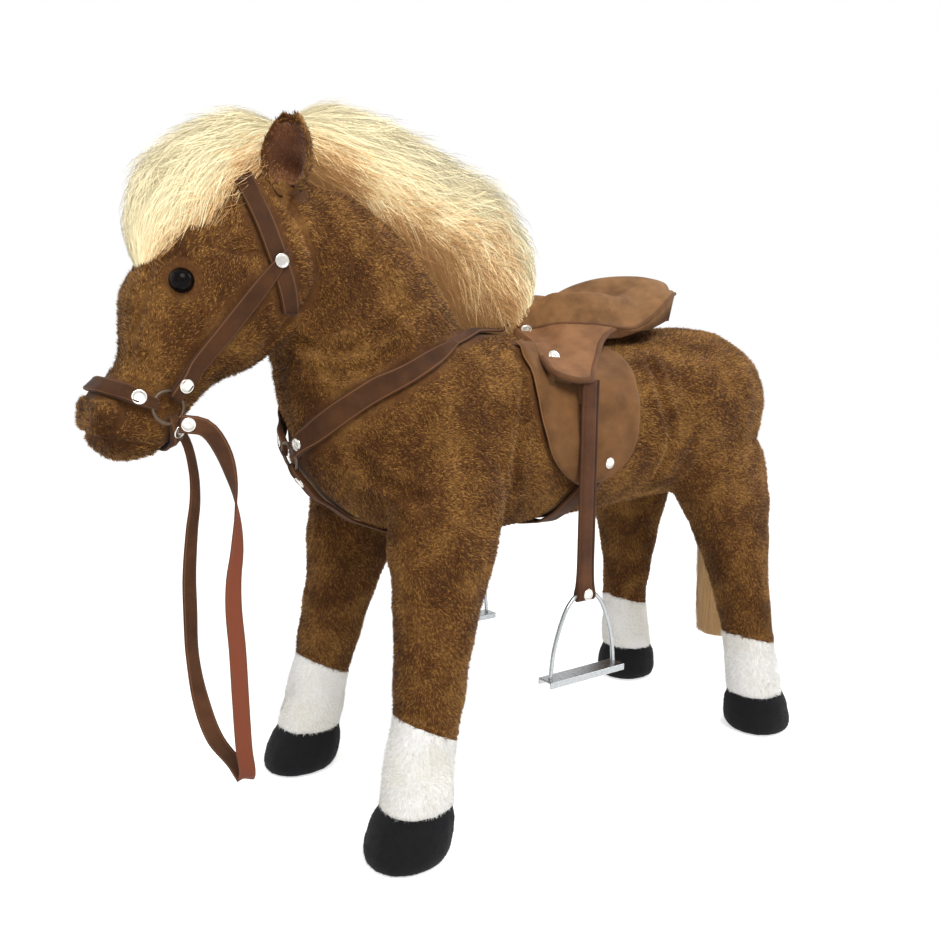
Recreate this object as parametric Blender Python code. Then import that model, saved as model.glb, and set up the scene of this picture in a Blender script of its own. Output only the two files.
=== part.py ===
"""A plush pony that stands on its four hooves, saddled and bridled.

Metres, +Z up. The nose points along -Y and the pony's left side is +X.
Every piece is drawn from the middle of the four hooves, and the stand empty
then carries them all to the middle of the pony's own footprint.
"""
import math

import bmesh
import bpy
from mathutils import Matrix, Vector
from mathutils.bvhtree import BVHTree

# Clearances and drawing steps that all pieces share
GAP = 0.0003
STANDOFF = 0.0008
OVERRUN = 0.02
CAST_REACH = 0.3
WRAP_STEP = 0.012
HARNESS_STEP = 0.016
LAP = 0.026
TAPER = 0.016
STAND_SHIFT_Y = 0.0775

# Stance of the pony
HOOF_SPREAD = 0.108
FRONT_HOOF_Y = -0.247
REAR_HOOF_Y = 0.247
HOOF_HEIGHT = 0.047
SOCK_HEIGHT = 0.064
BELLY_HEIGHT = 0.262

# Torso, from the chest to the rump
TORSO_FRONT_Y = -0.302
TORSO_LENGTH = 0.610
TORSO_DEPTH = 0.205
TORSO_WIDTH = 0.196

# Neck, from inside the chest up into the back of the head
NECK_BASE_BACK = 0.149
NECK_BASE_RISE = 0.053
NECK_LENGTH = 0.300
NECK_DEPTH = 0.190
NECK_WIDTH = 0.138
NECK_LEAN = math.radians(26.7)

# Head, from its round back to the tip of the muzzle
HEAD_BACK_Y = -0.263
HEAD_BACK_Z = 0.563
HEAD_LENGTH = 0.289
HEAD_DEPTH = 0.135
HEAD_WIDTH = 0.108
HEAD_DIP = math.radians(47.0)

# Legs, from inside the torso to the top of each sock
LEG_DEPTH = 0.068
LEG_WIDTH = 0.062
FRONT_LEG_TOP = (0.066, -0.176, 0.375)
REAR_LEG_TOP = (0.060, 0.178, 0.375)
FRONT_FOOT_LEAN = 0.20
REAR_FOOT_LEAN = 0.17
FOOT_SPLAY = 0.07
FRONT_SOCK_TILT = math.radians(26.0)
REAR_SOCK_TILT = math.radians(18.0)
HOOF_WIDTH = 0.076
HOOF_LENGTH = 0.080

# Ears and eyes
EAR_BASE = (0.042, -0.3185, 0.5706)
EAR_LENGTH = 0.058
EAR_SUNK = 0.016
EAR_WIDTH = 0.044
EAR_CUP = 0.014
EAR_THICKNESS = 0.006
EAR_OUTWARD = 0.10
EAR_TURN = 0.85
LINING_THICKNESS = 0.002
LINING_RISE = 0.0012
LINING_REACH_SHARE = 0.72
EYE_PLACE = (0.045, -0.4106, 0.4901)
EYE_RADIUS = 0.0098
EYE_SUNK = 0.002

# Mane, forelock and tail
MANE_FRONT_Y = -0.3165
MANE_FRONT_Z = 0.6092
MANE_DIP = math.radians(34.2)
MANE_LENGTH = 0.305
MANE_DEPTH = 0.120
MANE_WIDTH = 0.064
FORELOCK_BACK = -0.016
FORELOCK_RISE = 0.050
FORELOCK_LENGTH = 0.176
FORELOCK_DEPTH = 0.078
FORELOCK_WIDTH = 0.086
TAIL_LENGTH = 0.335
TAIL_SWEEP = -0.004
TAIL_DEPTH = 0.050
TAIL_WIDTH = 0.062
TAIL_ROOT_Z = 0.410
TAIL_STANDOFF = 0.008

# Steel frame inside, and the board that spreads the rider's weight
FRAME_TUBE = 0.016
FRAME_RIDE = 0.380
FRAME_FOOT = 0.018
FRAME_BEND = 0.035
NECK_POST_LENGTH = 0.190
BOARD_LENGTH = 0.150
BOARD_WIDTH = 0.086
BOARD_THICKNESS = 0.009
BOARD_CLEARANCE = 0.00045

# Straps, rivets and rings
STRAP_THICKNESS = 0.0022
BRIDLE_WIDTH = 0.0150
BREAST_WIDTH = 0.0225
TIE_WIDTH = 0.0100
LOWER_WIDTH = 0.0150
CHIN_WIDTH = 0.0125
GIRTH_LAP = 0.044
GIRTH_WIDTH = 0.0280
REIN_WIDTH = 0.0145
REIN_THICKNESS = 0.0020
RIVET_RADIUS = 0.0058
RIVET_HEIGHT = 0.0016
RIVET_SINK = 0.0008
RIVET_IN = 0.0132
RIVET_END_IN = 0.0080
RING_RADIUS = 0.0125
RING_WIRE = 0.0016
RING_REACH = 0.0052
RING_INSET = 0.0045
FOLD_THICKNESS = 0.0053
SADDLE_STEP = 0.0090

# Where the straps run over the pony's left side
BIT_RING = (0.042, -0.4218, 0.3945)
NOSE_ROUTE = ((0.040, -0.4389, 0.3979), (0.030, -0.4560, 0.4050), (0.000, -0.4660, 0.4080))
CHEEK_ROUTE = ((0.051, -0.3325, 0.5150), (0.050, -0.3377, 0.5079), (0.046, -0.3740, 0.4590),
               (0.041, -0.4099, 0.4096))
CHIN_ROUTE = ((0.036, -0.4150, 0.3745), (0.022, -0.4080, 0.3560), (0.000, -0.4040, 0.3500))
CROWN_ROUTE = ((0.000, -0.3640, 0.6100), (0.030, -0.3620, 0.5930), (0.046, -0.3530, 0.5560),
               (0.050, -0.3377, 0.5079), (0.047, -0.3251, 0.4629), (0.028, -0.3150, 0.4350),
               (0.000, -0.3120, 0.4260))
CHEST_RING = (0.000, -0.3010, 0.3465)
BREAST_ROUTE = ((0.028, -0.3014, 0.3642), (0.068, -0.2785, 0.3941), (0.082, -0.2390, 0.4173),
                (0.064, -0.1733, 0.4440))
TIE_ROUTE = ((0.066, -0.1850, 0.4420), (0.060, -0.1650, 0.4440), (0.034, -0.1233, 0.4570),
             (0.014, -0.0700, 0.4625), (0.010, -0.0570, 0.4640))
LOWER_ROUTE = ((0.000, -0.3000, 0.3279), (0.000, -0.2896, 0.3141), (0.000, -0.2550, 0.2748),
               (0.000, -0.1700, 0.2600), (0.000, -0.0900, 0.2600), (0.000, -0.0200, 0.2600))
GIRTH_ROUTE = ((0.097, -0.0180, 0.3420), (0.094, -0.0250, 0.3100), (0.070, -0.0420, 0.2720),
               (0.000, -0.0460, 0.2600))
REIN_ROUTE = ((0.0450, -0.4071, 0.3867), (0.0440, -0.3946, 0.3775), (0.0415, -0.3806, 0.3592),
              (0.0380, -0.3718, 0.3341), (0.0340, -0.3668, 0.3041), (0.0300, -0.3658, 0.2740),
              (0.0270, -0.3680, 0.2484), (0.0240, -0.3675, 0.2217), (0.0200, -0.3635, 0.1848),
              (0.0155, -0.3600, 0.1380), (0.0115, -0.3562, 0.0896), (0.0085, -0.3525, 0.0680),
              (0.0000, -0.3512, 0.0579), (-0.0085, -0.3560, 0.0680), (-0.0115, -0.3740, 0.0968),
              (-0.0140, -0.3850, 0.1348), (-0.0170, -0.3900, 0.1753), (-0.0200, -0.3897, 0.2143),
              (-0.0240, -0.3882, 0.2446), (-0.0280, -0.3835, 0.2829), (-0.0310, -0.3790, 0.3082),
              (-0.0345, -0.3785, 0.3344), (-0.0390, -0.3840, 0.3620), (-0.0440, -0.3990, 0.3810),
              (-0.0450, -0.4071, 0.3867))

# Saddle
SADDLE_FRONT_Y = -0.064
SADDLE_LENGTH = 0.256
SADDLE_RIDGE_Z = 0.4620
SADDLE_REAR_RISE = 0.030
SKIRT_SPAN = 0.110
SKIRT_DROP = 0.046
SKIRT_CURVE = 1.6
SKIRT_THICKNESS = 0.0040
SKIRT_PADDING = 0.014
SKIRT_BINDING = 0.0020
SEAT_SETBACK = 0.012
SEAT_WIDTH = 0.128
SEAT_HEIGHT = 0.062
SEAT_EDGE = 0.010
SEAT_ROLL = 0.014
SEAT_ROOT = 0.002
FLAP_FRONT_Y = -0.101
FLAP_LENGTH = 0.132
FLAP_DROP = 0.1170
FLAP_THICKNESS = 0.0026
FLAP_TOP_Z = 0.4300
FLAP_RIVET = (0.103, -0.0110, 0.3320)

# Stirrups
LEATHER_FACE_X = 0.1052
LEATHER_WIDTH = 0.0215
LEATHER_THICKNESS = 0.0032
LEATHER_HINGE_Z = 0.4000
LEATHER_Y = -0.0435
LEATHER_DROP = 0.1960
LEATHER_RIVET_RISE = 0.0155
HANGER_WIDTH = 0.014
HANGER_HEIGHT = 0.018
HANGER_DEPTH = 0.0078
HANGER_PIN = 0.0030
HANGER_REACH = 0.0020
HANGER_CLEARANCE = 0.00075
LOOP_THICKNESS = 0.0104
LOOP_HEIGHT = 0.030
BOW_WIRE = 0.0042
BOW_HEIGHT = 0.0800
BOW_WIDTH = 0.084
BOW_TOP_WIDTH = 0.026
TREAD_LENGTH = 0.098
TREAD_WIDTH = 0.019
TREAD_SHEET = 0.0018
TREAD_LIP = 0.0065

# Counts of rings and sides
BODY_SIDES = 22
LIMB_SIDES = 14
HAIR_SIDES = 12
FINE_STEPS = 4
CLEARING_ROUNDS = 5
DOME_RINGS = 4
TUBE_SIDES = 8
FRAME_SIDES = 8

# Shapes of strap ends, as shares
LAP_FULL_SHARE = 0.70
LAP_FADE_SHARE = 0.60
TAPER_SHARE = 0.36
ROUND_END_SHARE = 0.35
RIVET_BASE_SHARE = 0.2
CLEARING_SHARES = (0.25, 0.5, 0.75)
CLEARED_SHARE = 0.6
BEND_BULGE_SHARE = 1 / 6

LEFT = 1
RIGHT = -1
SIDE_NAMES = {LEFT: "left", RIGHT: "right"}
RIVET_SEATS = {}
EAR_CUTTERS = []
TIE_CUTTERS = []
SADDLE_CUTTERS = []


def clear_scene():
    """Remove whatever the file opened with."""
    for item in list(bpy.data.objects):
        bpy.data.objects.remove(item, do_unlink=True)


clear_scene()
PARTS = bpy.data.collections.new("plush_pony")
CUTTERS = bpy.data.collections.new("cutters")
bpy.context.scene.collection.children.link(PARTS)
bpy.context.scene.collection.children.link(CUTTERS)
STAND = bpy.data.objects.new("stand", None)
STAND.location = (0.0, STAND_SHIFT_Y, 0.0)
PARTS.objects.link(STAND)


# Materials

def material(name, colour, roughness, metallic=0.0):
    """A plain finish for one piece."""
    finish = bpy.data.materials.new(name)
    finish.use_nodes = True
    shader = finish.node_tree.nodes["Principled BSDF"]
    shader.inputs["Base Color"].default_value = (*colour, 1.0)
    shader.inputs["Roughness"].default_value = roughness
    shader.inputs["Metallic"].default_value = metallic
    finish.diffuse_color = (*colour, 1.0)
    return finish


BROWN_PLUSH = ((0.230, 0.088, 0.020), 0.95, 0.0)
LINING_PLUSH = ((0.130, 0.040, 0.018), 0.95, 0.0)
WHITE_PLUSH = ((0.800, 0.780, 0.740), 0.95, 0.0)
BLACK_PLUSH = ((0.006, 0.006, 0.009), 0.90, 0.0)
BLOND_HAIR = ((0.760, 0.520, 0.240), 0.80, 0.0)
TAIL_HAIR = ((0.480, 0.290, 0.130), 0.80, 0.0)
EYE_PLASTIC = ((0.004, 0.004, 0.005), 0.08, 0.0)
STRAP_SUEDE = ((0.110, 0.046, 0.022), 0.85, 0.0)
SADDLE_SUEDE = ((0.200, 0.100, 0.046), 0.88, 0.0)
FLAP_SUEDE = ((0.150, 0.074, 0.036), 0.88, 0.0)
NICKEL = ((0.720, 0.700, 0.660), 0.18, 1.0)
ZINC = ((0.620, 0.630, 0.640), 0.28, 1.0)
BLACK_STEEL = ((0.050, 0.050, 0.055), 0.45, 1.0)
PLYWOOD = ((0.560, 0.380, 0.200), 0.70, 0.0)


# Mesh helpers

def new_object(name, mesh, finish, home=None):
    """Place a mesh in the collection of parts with its own material."""
    item = bpy.data.objects.new(name, mesh)
    item.data.materials.clear()
    item.data.materials.append(material(name, *finish))
    PARTS.objects.link(item)
    item.parent = home or STAND
    if home is not None:
        mesh.transform(Matrix.Translation(-home.location))
    return item


def mesh_of(name, points, faces):
    """A closed mesh with its faces turned outwards and shaded smooth."""
    mesh = bpy.data.meshes.new(name)
    mesh.from_pydata([tuple(point) for point in points], [], faces)
    work = bmesh.new()
    work.from_mesh(mesh)
    bmesh.ops.recalc_face_normals(work, faces=work.faces)
    bmesh.ops.triangulate(work, faces=work.faces)
    work.to_mesh(mesh)
    work.free()
    mesh.shade_smooth()
    return mesh


def bake(item):
    """Make the modifiers of an object part of its mesh."""
    bpy.context.view_layer.update()
    graph = bpy.context.evaluated_depsgraph_get()
    mesh = bpy.data.meshes.new_from_object(item.evaluated_get(graph))
    item.modifiers.clear()
    item.data = mesh
    return item


def combine(item, others, operation):
    """Cut or join an object with others, one after the other."""
    for other in others:
        step = item.modifiers.new(operation.lower(), "BOOLEAN")
        step.operation = operation
        step.solver = "EXACT"
        step.object = other
    return bake(item)


def trim(item, *cutters):
    """Cut an object by others."""
    return combine(item, cutters, "DIFFERENCE")


def fuse(item, *others):
    """Join others to an object and remove them."""
    combine(item, others, "UNION")
    for other in others:
        bpy.data.objects.remove(other, do_unlink=True)
    return item


def swollen(item, amount=GAP):
    """A cutter of an object's shape, grown by a clearance all over."""
    work = bmesh.new()
    work.from_mesh(item.data)
    work.normal_update()
    moves = [vert.normal * amount * min(vert.calc_shell_factor(), 2.0) for vert in work.verts]
    for vert, move in zip(work.verts, moves):
        vert.co += move
    mesh = bpy.data.meshes.new(item.name + "_cutter")
    work.to_mesh(mesh)
    work.free()
    cutter = bpy.data.objects.new(item.name + "_cutter", mesh)
    CUTTERS.objects.link(cutter)
    cutter.parent = item.parent
    cutter.hide_render = True
    cutter.display_type = "WIRE"
    return cutter


def surface_of(*items):
    """A search tree over the meshes that straps and panels lie on."""
    points = []
    faces = []
    for item in items:
        first = len(points)
        points.extend(vert.co.copy() for vert in item.data.vertices)
        faces.extend([first + index for index in face.vertices] for face in item.data.polygons)
    return BVHTree.FromPolygons(points, faces)


def skin_of(*items):
    """A search tree over the outside of several pieces taken together."""
    first = items[0].copy()
    first.data = items[0].data.copy()
    CUTTERS.objects.link(first)
    combine(first, items[1:], "UNION")
    skin = surface_of(first)
    bpy.data.objects.remove(first, do_unlink=True)
    return skin


def curve_tube(name, points, radius, sides=TUBE_SIDES, cyclic=False):
    """The mesh of a round tube along points, with welded caps."""
    curve = bpy.data.curves.new(name, "CURVE")
    curve.dimensions = "3D"
    curve.bevel_depth = radius
    curve.bevel_resolution = max(sides // 2 - 2, 0)
    curve.use_fill_caps = True
    spline = curve.splines.new("POLY")
    spline.points.add(len(points) - 1)
    for knot, point in zip(spline.points, points):
        knot.co = (*point, 1.0)
    spline.use_cyclic_u = cyclic
    guide = bpy.data.objects.new(name, curve)
    CUTTERS.objects.link(guide)
    bpy.context.view_layer.update()
    graph = bpy.context.evaluated_depsgraph_get()
    mesh = bpy.data.meshes.new_from_object(guide.evaluated_get(graph))
    bpy.data.objects.remove(guide, do_unlink=True)
    work = bmesh.new()
    work.from_mesh(mesh)
    bmesh.ops.remove_doubles(work, verts=work.verts, dist=GAP / 10)
    bmesh.ops.recalc_face_normals(work, faces=work.faces)
    bmesh.ops.triangulate(work, faces=work.faces)
    work.to_mesh(mesh)
    work.free()
    mesh.shade_smooth()
    return mesh


def hinge_empty(name, place):
    """An empty on the axis of a joint, which carries the moving piece."""
    hinge = bpy.data.objects.new(name, None)
    hinge.location = place
    hinge.parent = STAND
    PARTS.objects.link(hinge)
    return hinge


# Smooth curves

def blend_value(places, values, place):
    """A smooth curve through values, read at a place."""
    last = len(places) - 1
    place = min(max(place, places[0]), places[last])
    cell = max(index for index in range(last) if places[index] <= place)
    span = places[cell + 1] - places[cell]
    share = (place - places[cell]) / span

    def slope(index):
        before = max(index - 1, 0)
        after = min(index + 1, last)
        return (values[after] - values[before]) / (places[after] - places[before])

    square = share * share
    cube = square * share
    return (
        (2 * cube - 3 * square + 1) * values[cell]
        + (cube - 2 * square + share) * span * slope(cell)
        + (3 * square - 2 * cube) * values[cell + 1]
        + (cube - square) * span * slope(cell + 1)
    )


def smooth_path(points, step):
    """Points a step apart along a smooth curve through a few places."""
    points = [Vector(point) for point in points]
    places = [0.0]
    for before, after in zip(points, points[1:]):
        places.append(places[-1] + (after - before).length)
    count = max(int(round(places[-1] / step)), 2)
    path = []
    for index in range(count + 1):
        place = places[-1] * index / count
        path.append(Vector([blend_value(places, [p[axis] for p in points], place) for axis in range(3)]))
    return path


def smooth_step(share):
    """A soft rise from nought to one."""
    share = min(max(share, 0.0), 1.0)
    return share * share * (3.0 - 2.0 * share)


# Stuffed forms

class Form:
    """A stuffed form: rounded sections strung along a line.

    Each station holds a place along the line, the top and the bottom of the
    section there, and its half width, as shares of the form's own length,
    depth, depth and half width.
    """

    def __init__(self, origin, line, up, side, depth, width, station_shares, domes=(0.0, 0.0),
                 fullness=2.2, tilts=(0.0, 0.0)):
        self.origin = Vector(origin)
        self.line = Vector(line)
        self.up = Vector(up).normalized()
        self.side = Vector(side).normalized()
        self.depth = depth
        self.half = width / 2
        self.columns = list(zip(*station_shares))
        self.domes = domes
        self.fullness = fullness
        self.tilts = tilts

    def dome(self, share):
        """How far the section has opened from a round end."""
        opened = 1.0
        for reach, distance in ((self.domes[0], share), (self.domes[1], 1.0 - share)):
            if reach and distance < reach:
                opened *= math.sqrt(max(1.0 - ((reach - distance) / reach) ** 2, 0.0))
        return opened

    def section(self, share):
        """The centre, the upward direction and the half sizes of a section."""
        places = self.columns[0]
        top, bottom, wide = (blend_value(places, column, share) for column in self.columns[1:4])
        tilt = self.tilts[0] + (self.tilts[1] - self.tilts[0]) * share
        up = (self.up * math.cos(tilt) - self.line.normalized() * math.sin(tilt)).normalized()
        opened = self.dome(share)
        centre = self.origin + self.line * share + up * self.depth * (top + bottom) / 2
        return centre, up, self.depth * (top - bottom) / 2 * opened, self.half * wide * opened

    def point(self, share, degrees):
        """A point of the surface: 0 degrees is the side, 90 the top."""
        centre, up, tall, wide = self.section(share)
        turn = math.radians(degrees)
        power = 2.0 / self.fullness
        across = math.copysign(abs(math.cos(turn)) ** power, math.cos(turn))
        upward = math.copysign(abs(math.sin(turn)) ** power, math.sin(turn))
        return centre + self.side * wide * across + up * tall * upward

    def ring_shares(self, rings):
        """Places of the rings, closer together in the round ends."""
        first, last = self.domes
        shares = []
        if first:
            shares += [first * (1 - math.cos(math.pi / 2 * k / DOME_RINGS)) for k in range(1, DOME_RINGS)]
        shares += [first + (1.0 - first - last) * k / rings for k in range(rings + 1)]
        if last:
            shares += [1 - last * (1 - math.cos(math.pi / 2 * k / DOME_RINGS))
                       for k in range(DOME_RINGS - 1, 0, -1)]
        return shares

    def mesh(self, name, rings, sides, swell_shares=()):
        """The closed mesh of the form, with soft swellings on it.

        Each swelling holds a place along the line, an angle, a radius and a
        height, the last two as shares of the form's depth.
        """
        points = []
        for share in self.ring_shares(rings):
            points += [self.point(share, 360.0 * k / sides) for k in range(sides)]
        count = len(points) // sides
        faces = []
        for ring in range(count - 1):
            for k in range(sides):
                after = (k + 1) % sides
                low, high = ring * sides, (ring + 1) * sides
                faces.append((low + k, low + after, high + after, high + k))
        for is_end, ring in ((0, 0), (1, count - 1)):
            rim = [ring * sides + k for k in range(sides)]
            if self.domes[is_end]:
                points.append(self.section(float(is_end))[0])
                pole = len(points) - 1
                faces += [(rim[k], rim[(k + 1) % sides], pole) for k in range(sides)]
            else:
                faces.append(tuple(rim))
        mesh = mesh_of(name, points, faces)
        for share, degrees, radius, height in swell_shares:
            self.swell(mesh, self.point(share, degrees), radius * self.depth, height * self.depth)
        return mesh

    @staticmethod
    def swell(mesh, centre, radius, height):
        """Push the surface softly out round a place."""
        moves = []
        for vert in mesh.vertices:
            distance = (vert.co - centre).length / radius
            moves.append(vert.normal * height * math.exp(-distance * distance))
        for vert, move in zip(mesh.vertices, moves):
            vert.co += move
        mesh.update()


# Sheets and straps that lie on a surface

def slab(name, outer, inner, closed=False):
    """A closed sheet between two grids of points."""
    rows, columns = len(outer), len(outer[0])
    points = [point for grid in (outer, inner) for row in grid for point in row]
    below = rows * columns
    faces = []
    for r in range(rows if closed else rows - 1):
        after = (r + 1) % rows
        for c in range(columns - 1):
            a, b = r * columns + c, r * columns + c + 1
            d, e = after * columns + c, after * columns + c + 1
            faces.append((a, b, e, d))
            faces.append((below + a, below + d, below + e, below + b))
        for c in (0, columns - 1):
            a, d = r * columns + c, after * columns + c
            faces.append((a, d, below + d, below + a))
    if not closed:
        for r in (0, rows - 1):
            for c in range(columns - 1):
                a, b = r * columns + c, r * columns + c + 1
                faces.append((a, b, below + b, below + a))
    return mesh_of(name, points, faces)


def grid_normals(grid, faces_out, closed=False):
    """Smooth normals of a grid of points, turned the way a surface faces."""
    rows, columns = len(grid), len(grid[0])
    normals = []
    for r in range(rows):
        before = (r - 1) % rows if closed else max(r - 1, 0)
        after = (r + 1) % rows if closed else min(r + 1, rows - 1)
        line = []
        for c in range(columns):
            along = grid[after][c] - grid[before][c]
            across = grid[r][min(c + 1, columns - 1)] - grid[r][max(c - 1, 0)]
            normal = along.cross(across).normalized()
            line.append(normal if normal.dot(faces_out[r][c]) > 0 else -normal)
        normals.append(line)
    return normals


def laid_sheet(name, guide, surface, thickness, standoff, closed=False):
    """A sheet laid on a surface along a grid of guide points.

    thickness and standoff are functions of the row and the column. The sheet
    is raised wherever its flat faces would cut into the surface. Returns the
    mesh, the points of its outer face and the directions they look in.
    """
    rows, columns = len(guide), len(guide[0])
    found = [[surface.find_nearest(point) for point in row] for row in guide]
    places = [[hit[0] for hit in row] for row in found]
    normals = grid_normals(places, [[hit[1] for hit in row] for row in found], closed)
    rises = [[standoff(r, c) for c in range(columns)] for r in range(rows)]

    def lifted(r, c):
        return places[r][c] + normals[r][c] * rises[r][c]

    for _ in range(CLEARING_ROUNDS):
        for r in range(rows if closed else rows - 1):
            after = (r + 1) % rows
            for c in range(columns - 1):
                corners = ((r, c), (after, c), (after, c + 1), (r, c + 1))
                edges = (*zip(corners, corners[1:] + corners[:1]), corners[::2], corners[1::2])
                for start, end in edges:
                    for share in CLEARING_SHARES:
                        place = lifted(*start).lerp(lifted(*end), share)
                        hit = surface.find_nearest(place)
                        short = STANDOFF * CLEARED_SHARE - (place - hit[0]).dot(hit[1])
                        if short > 0:
                            for row, column in (start, end):
                                rises[row][column] += short
    inner = [[lifted(r, c) for c in range(columns)] for r in range(rows)]
    outer = [[inner[r][c] + normals[r][c] * thickness(r, c) for c in range(columns)] for r in range(rows)]
    return slab(name, outer, inner, closed), outer, normals


def strap_path(route, step, closed):
    """Places along a route, closer together at the ends of an open strap."""
    route = [Vector(point) for point in route]
    if not closed:
        path = smooth_path(route, step / FINE_STEPS)
        last = len(path) - 1
        picks = set(range(0, last + 1, FINE_STEPS))
        picks = {pick for pick in picks if pick < last - FINE_STEPS}
        picks |= {0, 1, 2, last - 2, last - 1, last}
        return [path[pick] for pick in sorted(picks)]
    path = smooth_path([*route[-3:], *route, *route[:3]], step / FINE_STEPS)
    half = len(path) // 2
    starts = min(range(half), key=lambda k: (path[k] - route[0]).length)
    ends = min(range(half, len(path)), key=lambda k: (path[k] - route[0]).length)
    loop = path[starts:ends]
    count = len(loop) // FINE_STEPS
    return [loop[len(loop) * k // count] for k in range(count)]


def strap_guide(route, surface, width, closed=False, ends=("square", "square"), step=WRAP_STEP):
    """Guide points of a strap: its two edges, along a route on a surface.

    An end is square, round, or tapered so that it passes through a ring.
    """
    hits = [surface.find_nearest(point) for point in strap_path(route, step, closed)]
    places = [hit[0] for hit in hits]
    run = [0.0]
    for before, after in zip(places, places[1:]):
        run.append(run[-1] + (after - before).length)
    guide = []
    last = len(places) - 1
    for index, (place, hit) in enumerate(zip(places, hits)):
        before = places[index - 1] if closed or index else place
        after = places[(index + 1) % len(places)] if closed or index < last else place
        across = (after - before).normalized().cross(hit[1]).normalized()
        half = width / 2
        for end, distance in zip(ends, (run[index], run[last] - run[index])):
            if end == "tapered":
                half *= 1.0 - TAPER_SHARE * (1.0 - smooth_step(distance / TAPER))
            if end == "round" and distance < width / 2:
                half *= max(math.sqrt(1.0 - (1.0 - 2 * distance / width) ** 2), ROUND_END_SHARE)
        guide.append([place - across * half, place + across * half])
    return guide


def strap(name, route, surface, width, finish, thickness=STRAP_THICKNESS, lifts=(0.0, 0.0),
          folds=(0.0, 0.0), lap=LAP, rivets=(0.0, 0.0), **guide_options):
    """A flat strap laid on a surface.

    lifts raise each end over what lies under it, folds thicken an end that
    is turned back on itself, and rivets give how far each rivet sits from
    its end. The places of the rivets are kept for later.
    """
    guide = strap_guide(route, surface, width, **guide_options)
    run = [0.0]
    for before, after in zip(guide, guide[1:]):
        run.append(run[-1] + (sum(after, Vector()) - sum(before, Vector())).length / 2)

    def near_ends(row):
        laps = (run[row] / lap, (run[-1] - run[row]) / lap)
        return [1.0 - smooth_step((share - LAP_FULL_SHARE) / LAP_FADE_SHARE) for share in laps]

    def rise(row, _column):
        start, end = near_ends(row)
        return STANDOFF + lifts[0] * start + lifts[1] * end

    def body(row, _column):
        start, end = near_ends(row)
        return thickness + max(folds[0] - thickness, 0.0) * start + max(folds[1] - thickness, 0.0) * end

    mesh, outer, normals = laid_sheet(name, guide, surface, body, rise, guide_options.get("closed", False))
    item = new_object(name, mesh, finish)
    RIVET_SEATS[name] = []
    for distance, from_start in zip(rivets, (True, False)):
        if distance:
            target = distance if from_start else run[-1] - distance
            row = max(index for index in range(len(run) - 1) if run[index] <= target)
            share = (target - run[row]) / (run[row + 1] - run[row])
            near, far = (sum(line, Vector()) / 2 for line in outer[row:row + 2])
            looks = [sum(line, Vector()) for line in normals[row:row + 2]]
            RIVET_SEATS[name].append((near.lerp(far, share), looks[0].lerp(looks[1], share).normalized()))
    return item


def adopt(item, name, finish):
    """Bring a primitive into the collection of parts."""
    for home in list(item.users_collection):
        home.objects.unlink(item)
    PARTS.objects.link(item)
    item.name = name
    item.data.materials.clear()
    item.data.materials.append(material(name, *finish))
    item.parent = STAND
    return item


def rivet_on(item, place, normal):
    """Fuse a low domed rivet head to a strap."""
    bpy.ops.mesh.primitive_uv_sphere_add(segments=8, ring_count=4, radius=1.0)
    head = bpy.context.active_object
    head.name = "rivet_head"
    for vert in head.data.vertices:
        if vert.co.z < 0:
            vert.co.z *= RIVET_BASE_SHARE
    turn = Vector(normal).to_track_quat("Z", "Y").to_matrix().to_4x4()
    shape = Matrix.Diagonal((RIVET_RADIUS, RIVET_RADIUS, RIVET_HEIGHT + RIVET_SINK, 1.0))
    head.data.transform(Matrix.Translation(Vector(place) - Vector(normal) * RIVET_SINK) @ turn @ shape)
    head.parent = item.parent
    return fuse(item, head)


def set_rivets(item):
    """Fuse the rivet heads of a strap to it."""
    for place, normal in RIVET_SEATS[item.name]:
        rivet_on(item, place, normal)
    return item


def mirrored(point):
    """The same place on the pony's other side."""
    return Vector((-point[0], point[1], point[2]))


def there_and_back(route):
    """A route that ends on the middle plane, carried on to the other side."""
    route = [Vector(point) for point in route]
    return route + [mirrored(point) for point in reversed(route[:-1])]


# Body of the pony

TORSO_SHARES = (
    (0.00, 0.80, 0.16, 0.74),
    (0.10, 0.90, 0.07, 0.84),
    (0.20, 0.97, 0.02, 0.93),
    (0.32, 0.97, 0.00, 0.98),
    (0.45, 0.93, 0.02, 1.00),
    (0.60, 0.93, 0.05, 1.00),
    (0.74, 0.99, 0.09, 1.00),
    (0.84, 1.00, 0.14, 0.96),
    (0.92, 0.94, 0.22, 0.90),
    (1.00, 0.81, 0.30, 0.80),
)
TORSO_SWELL_SHARES = (
    (0.17, 8.0, 0.36, 0.05),
    (0.17, 172.0, 0.36, 0.05),
    (0.82, 0.0, 0.45, 0.05),
    (0.82, 180.0, 0.45, 0.05),
)
NECK_SHARES = (
    (0.00, 0.48, -0.30, 0.80),
    (0.20, 0.54, -0.42, 0.96),
    (0.36, 0.575, -0.445, 1.08),
    (0.48, 0.545, -0.425, 1.06),
    (0.61, 0.475, -0.395, 0.96),
    (0.72, 0.43, -0.335, 0.88),
    (0.83, 0.38, -0.245, 0.80),
    (1.00, 0.27, -0.05, 0.70),
)
HEAD_SHARES = (
    (0.00, 0.46, -0.26, 0.84),
    (0.08, 0.56, -0.31, 0.90),
    (0.18, 0.655, -0.335, 0.97),
    (0.31, 0.665, -0.350, 1.00),
    (0.44, 0.620, -0.335, 0.98),
    (0.56, 0.600, -0.270, 0.88),
    (0.65, 0.555, -0.185, 0.77),
    (0.73, 0.380, -0.168, 0.68),
    (0.80, 0.315, -0.185, 0.68),
    (0.88, 0.320, -0.210, 0.72),
    (1.00, 0.300, -0.200, 0.72),
)
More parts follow.
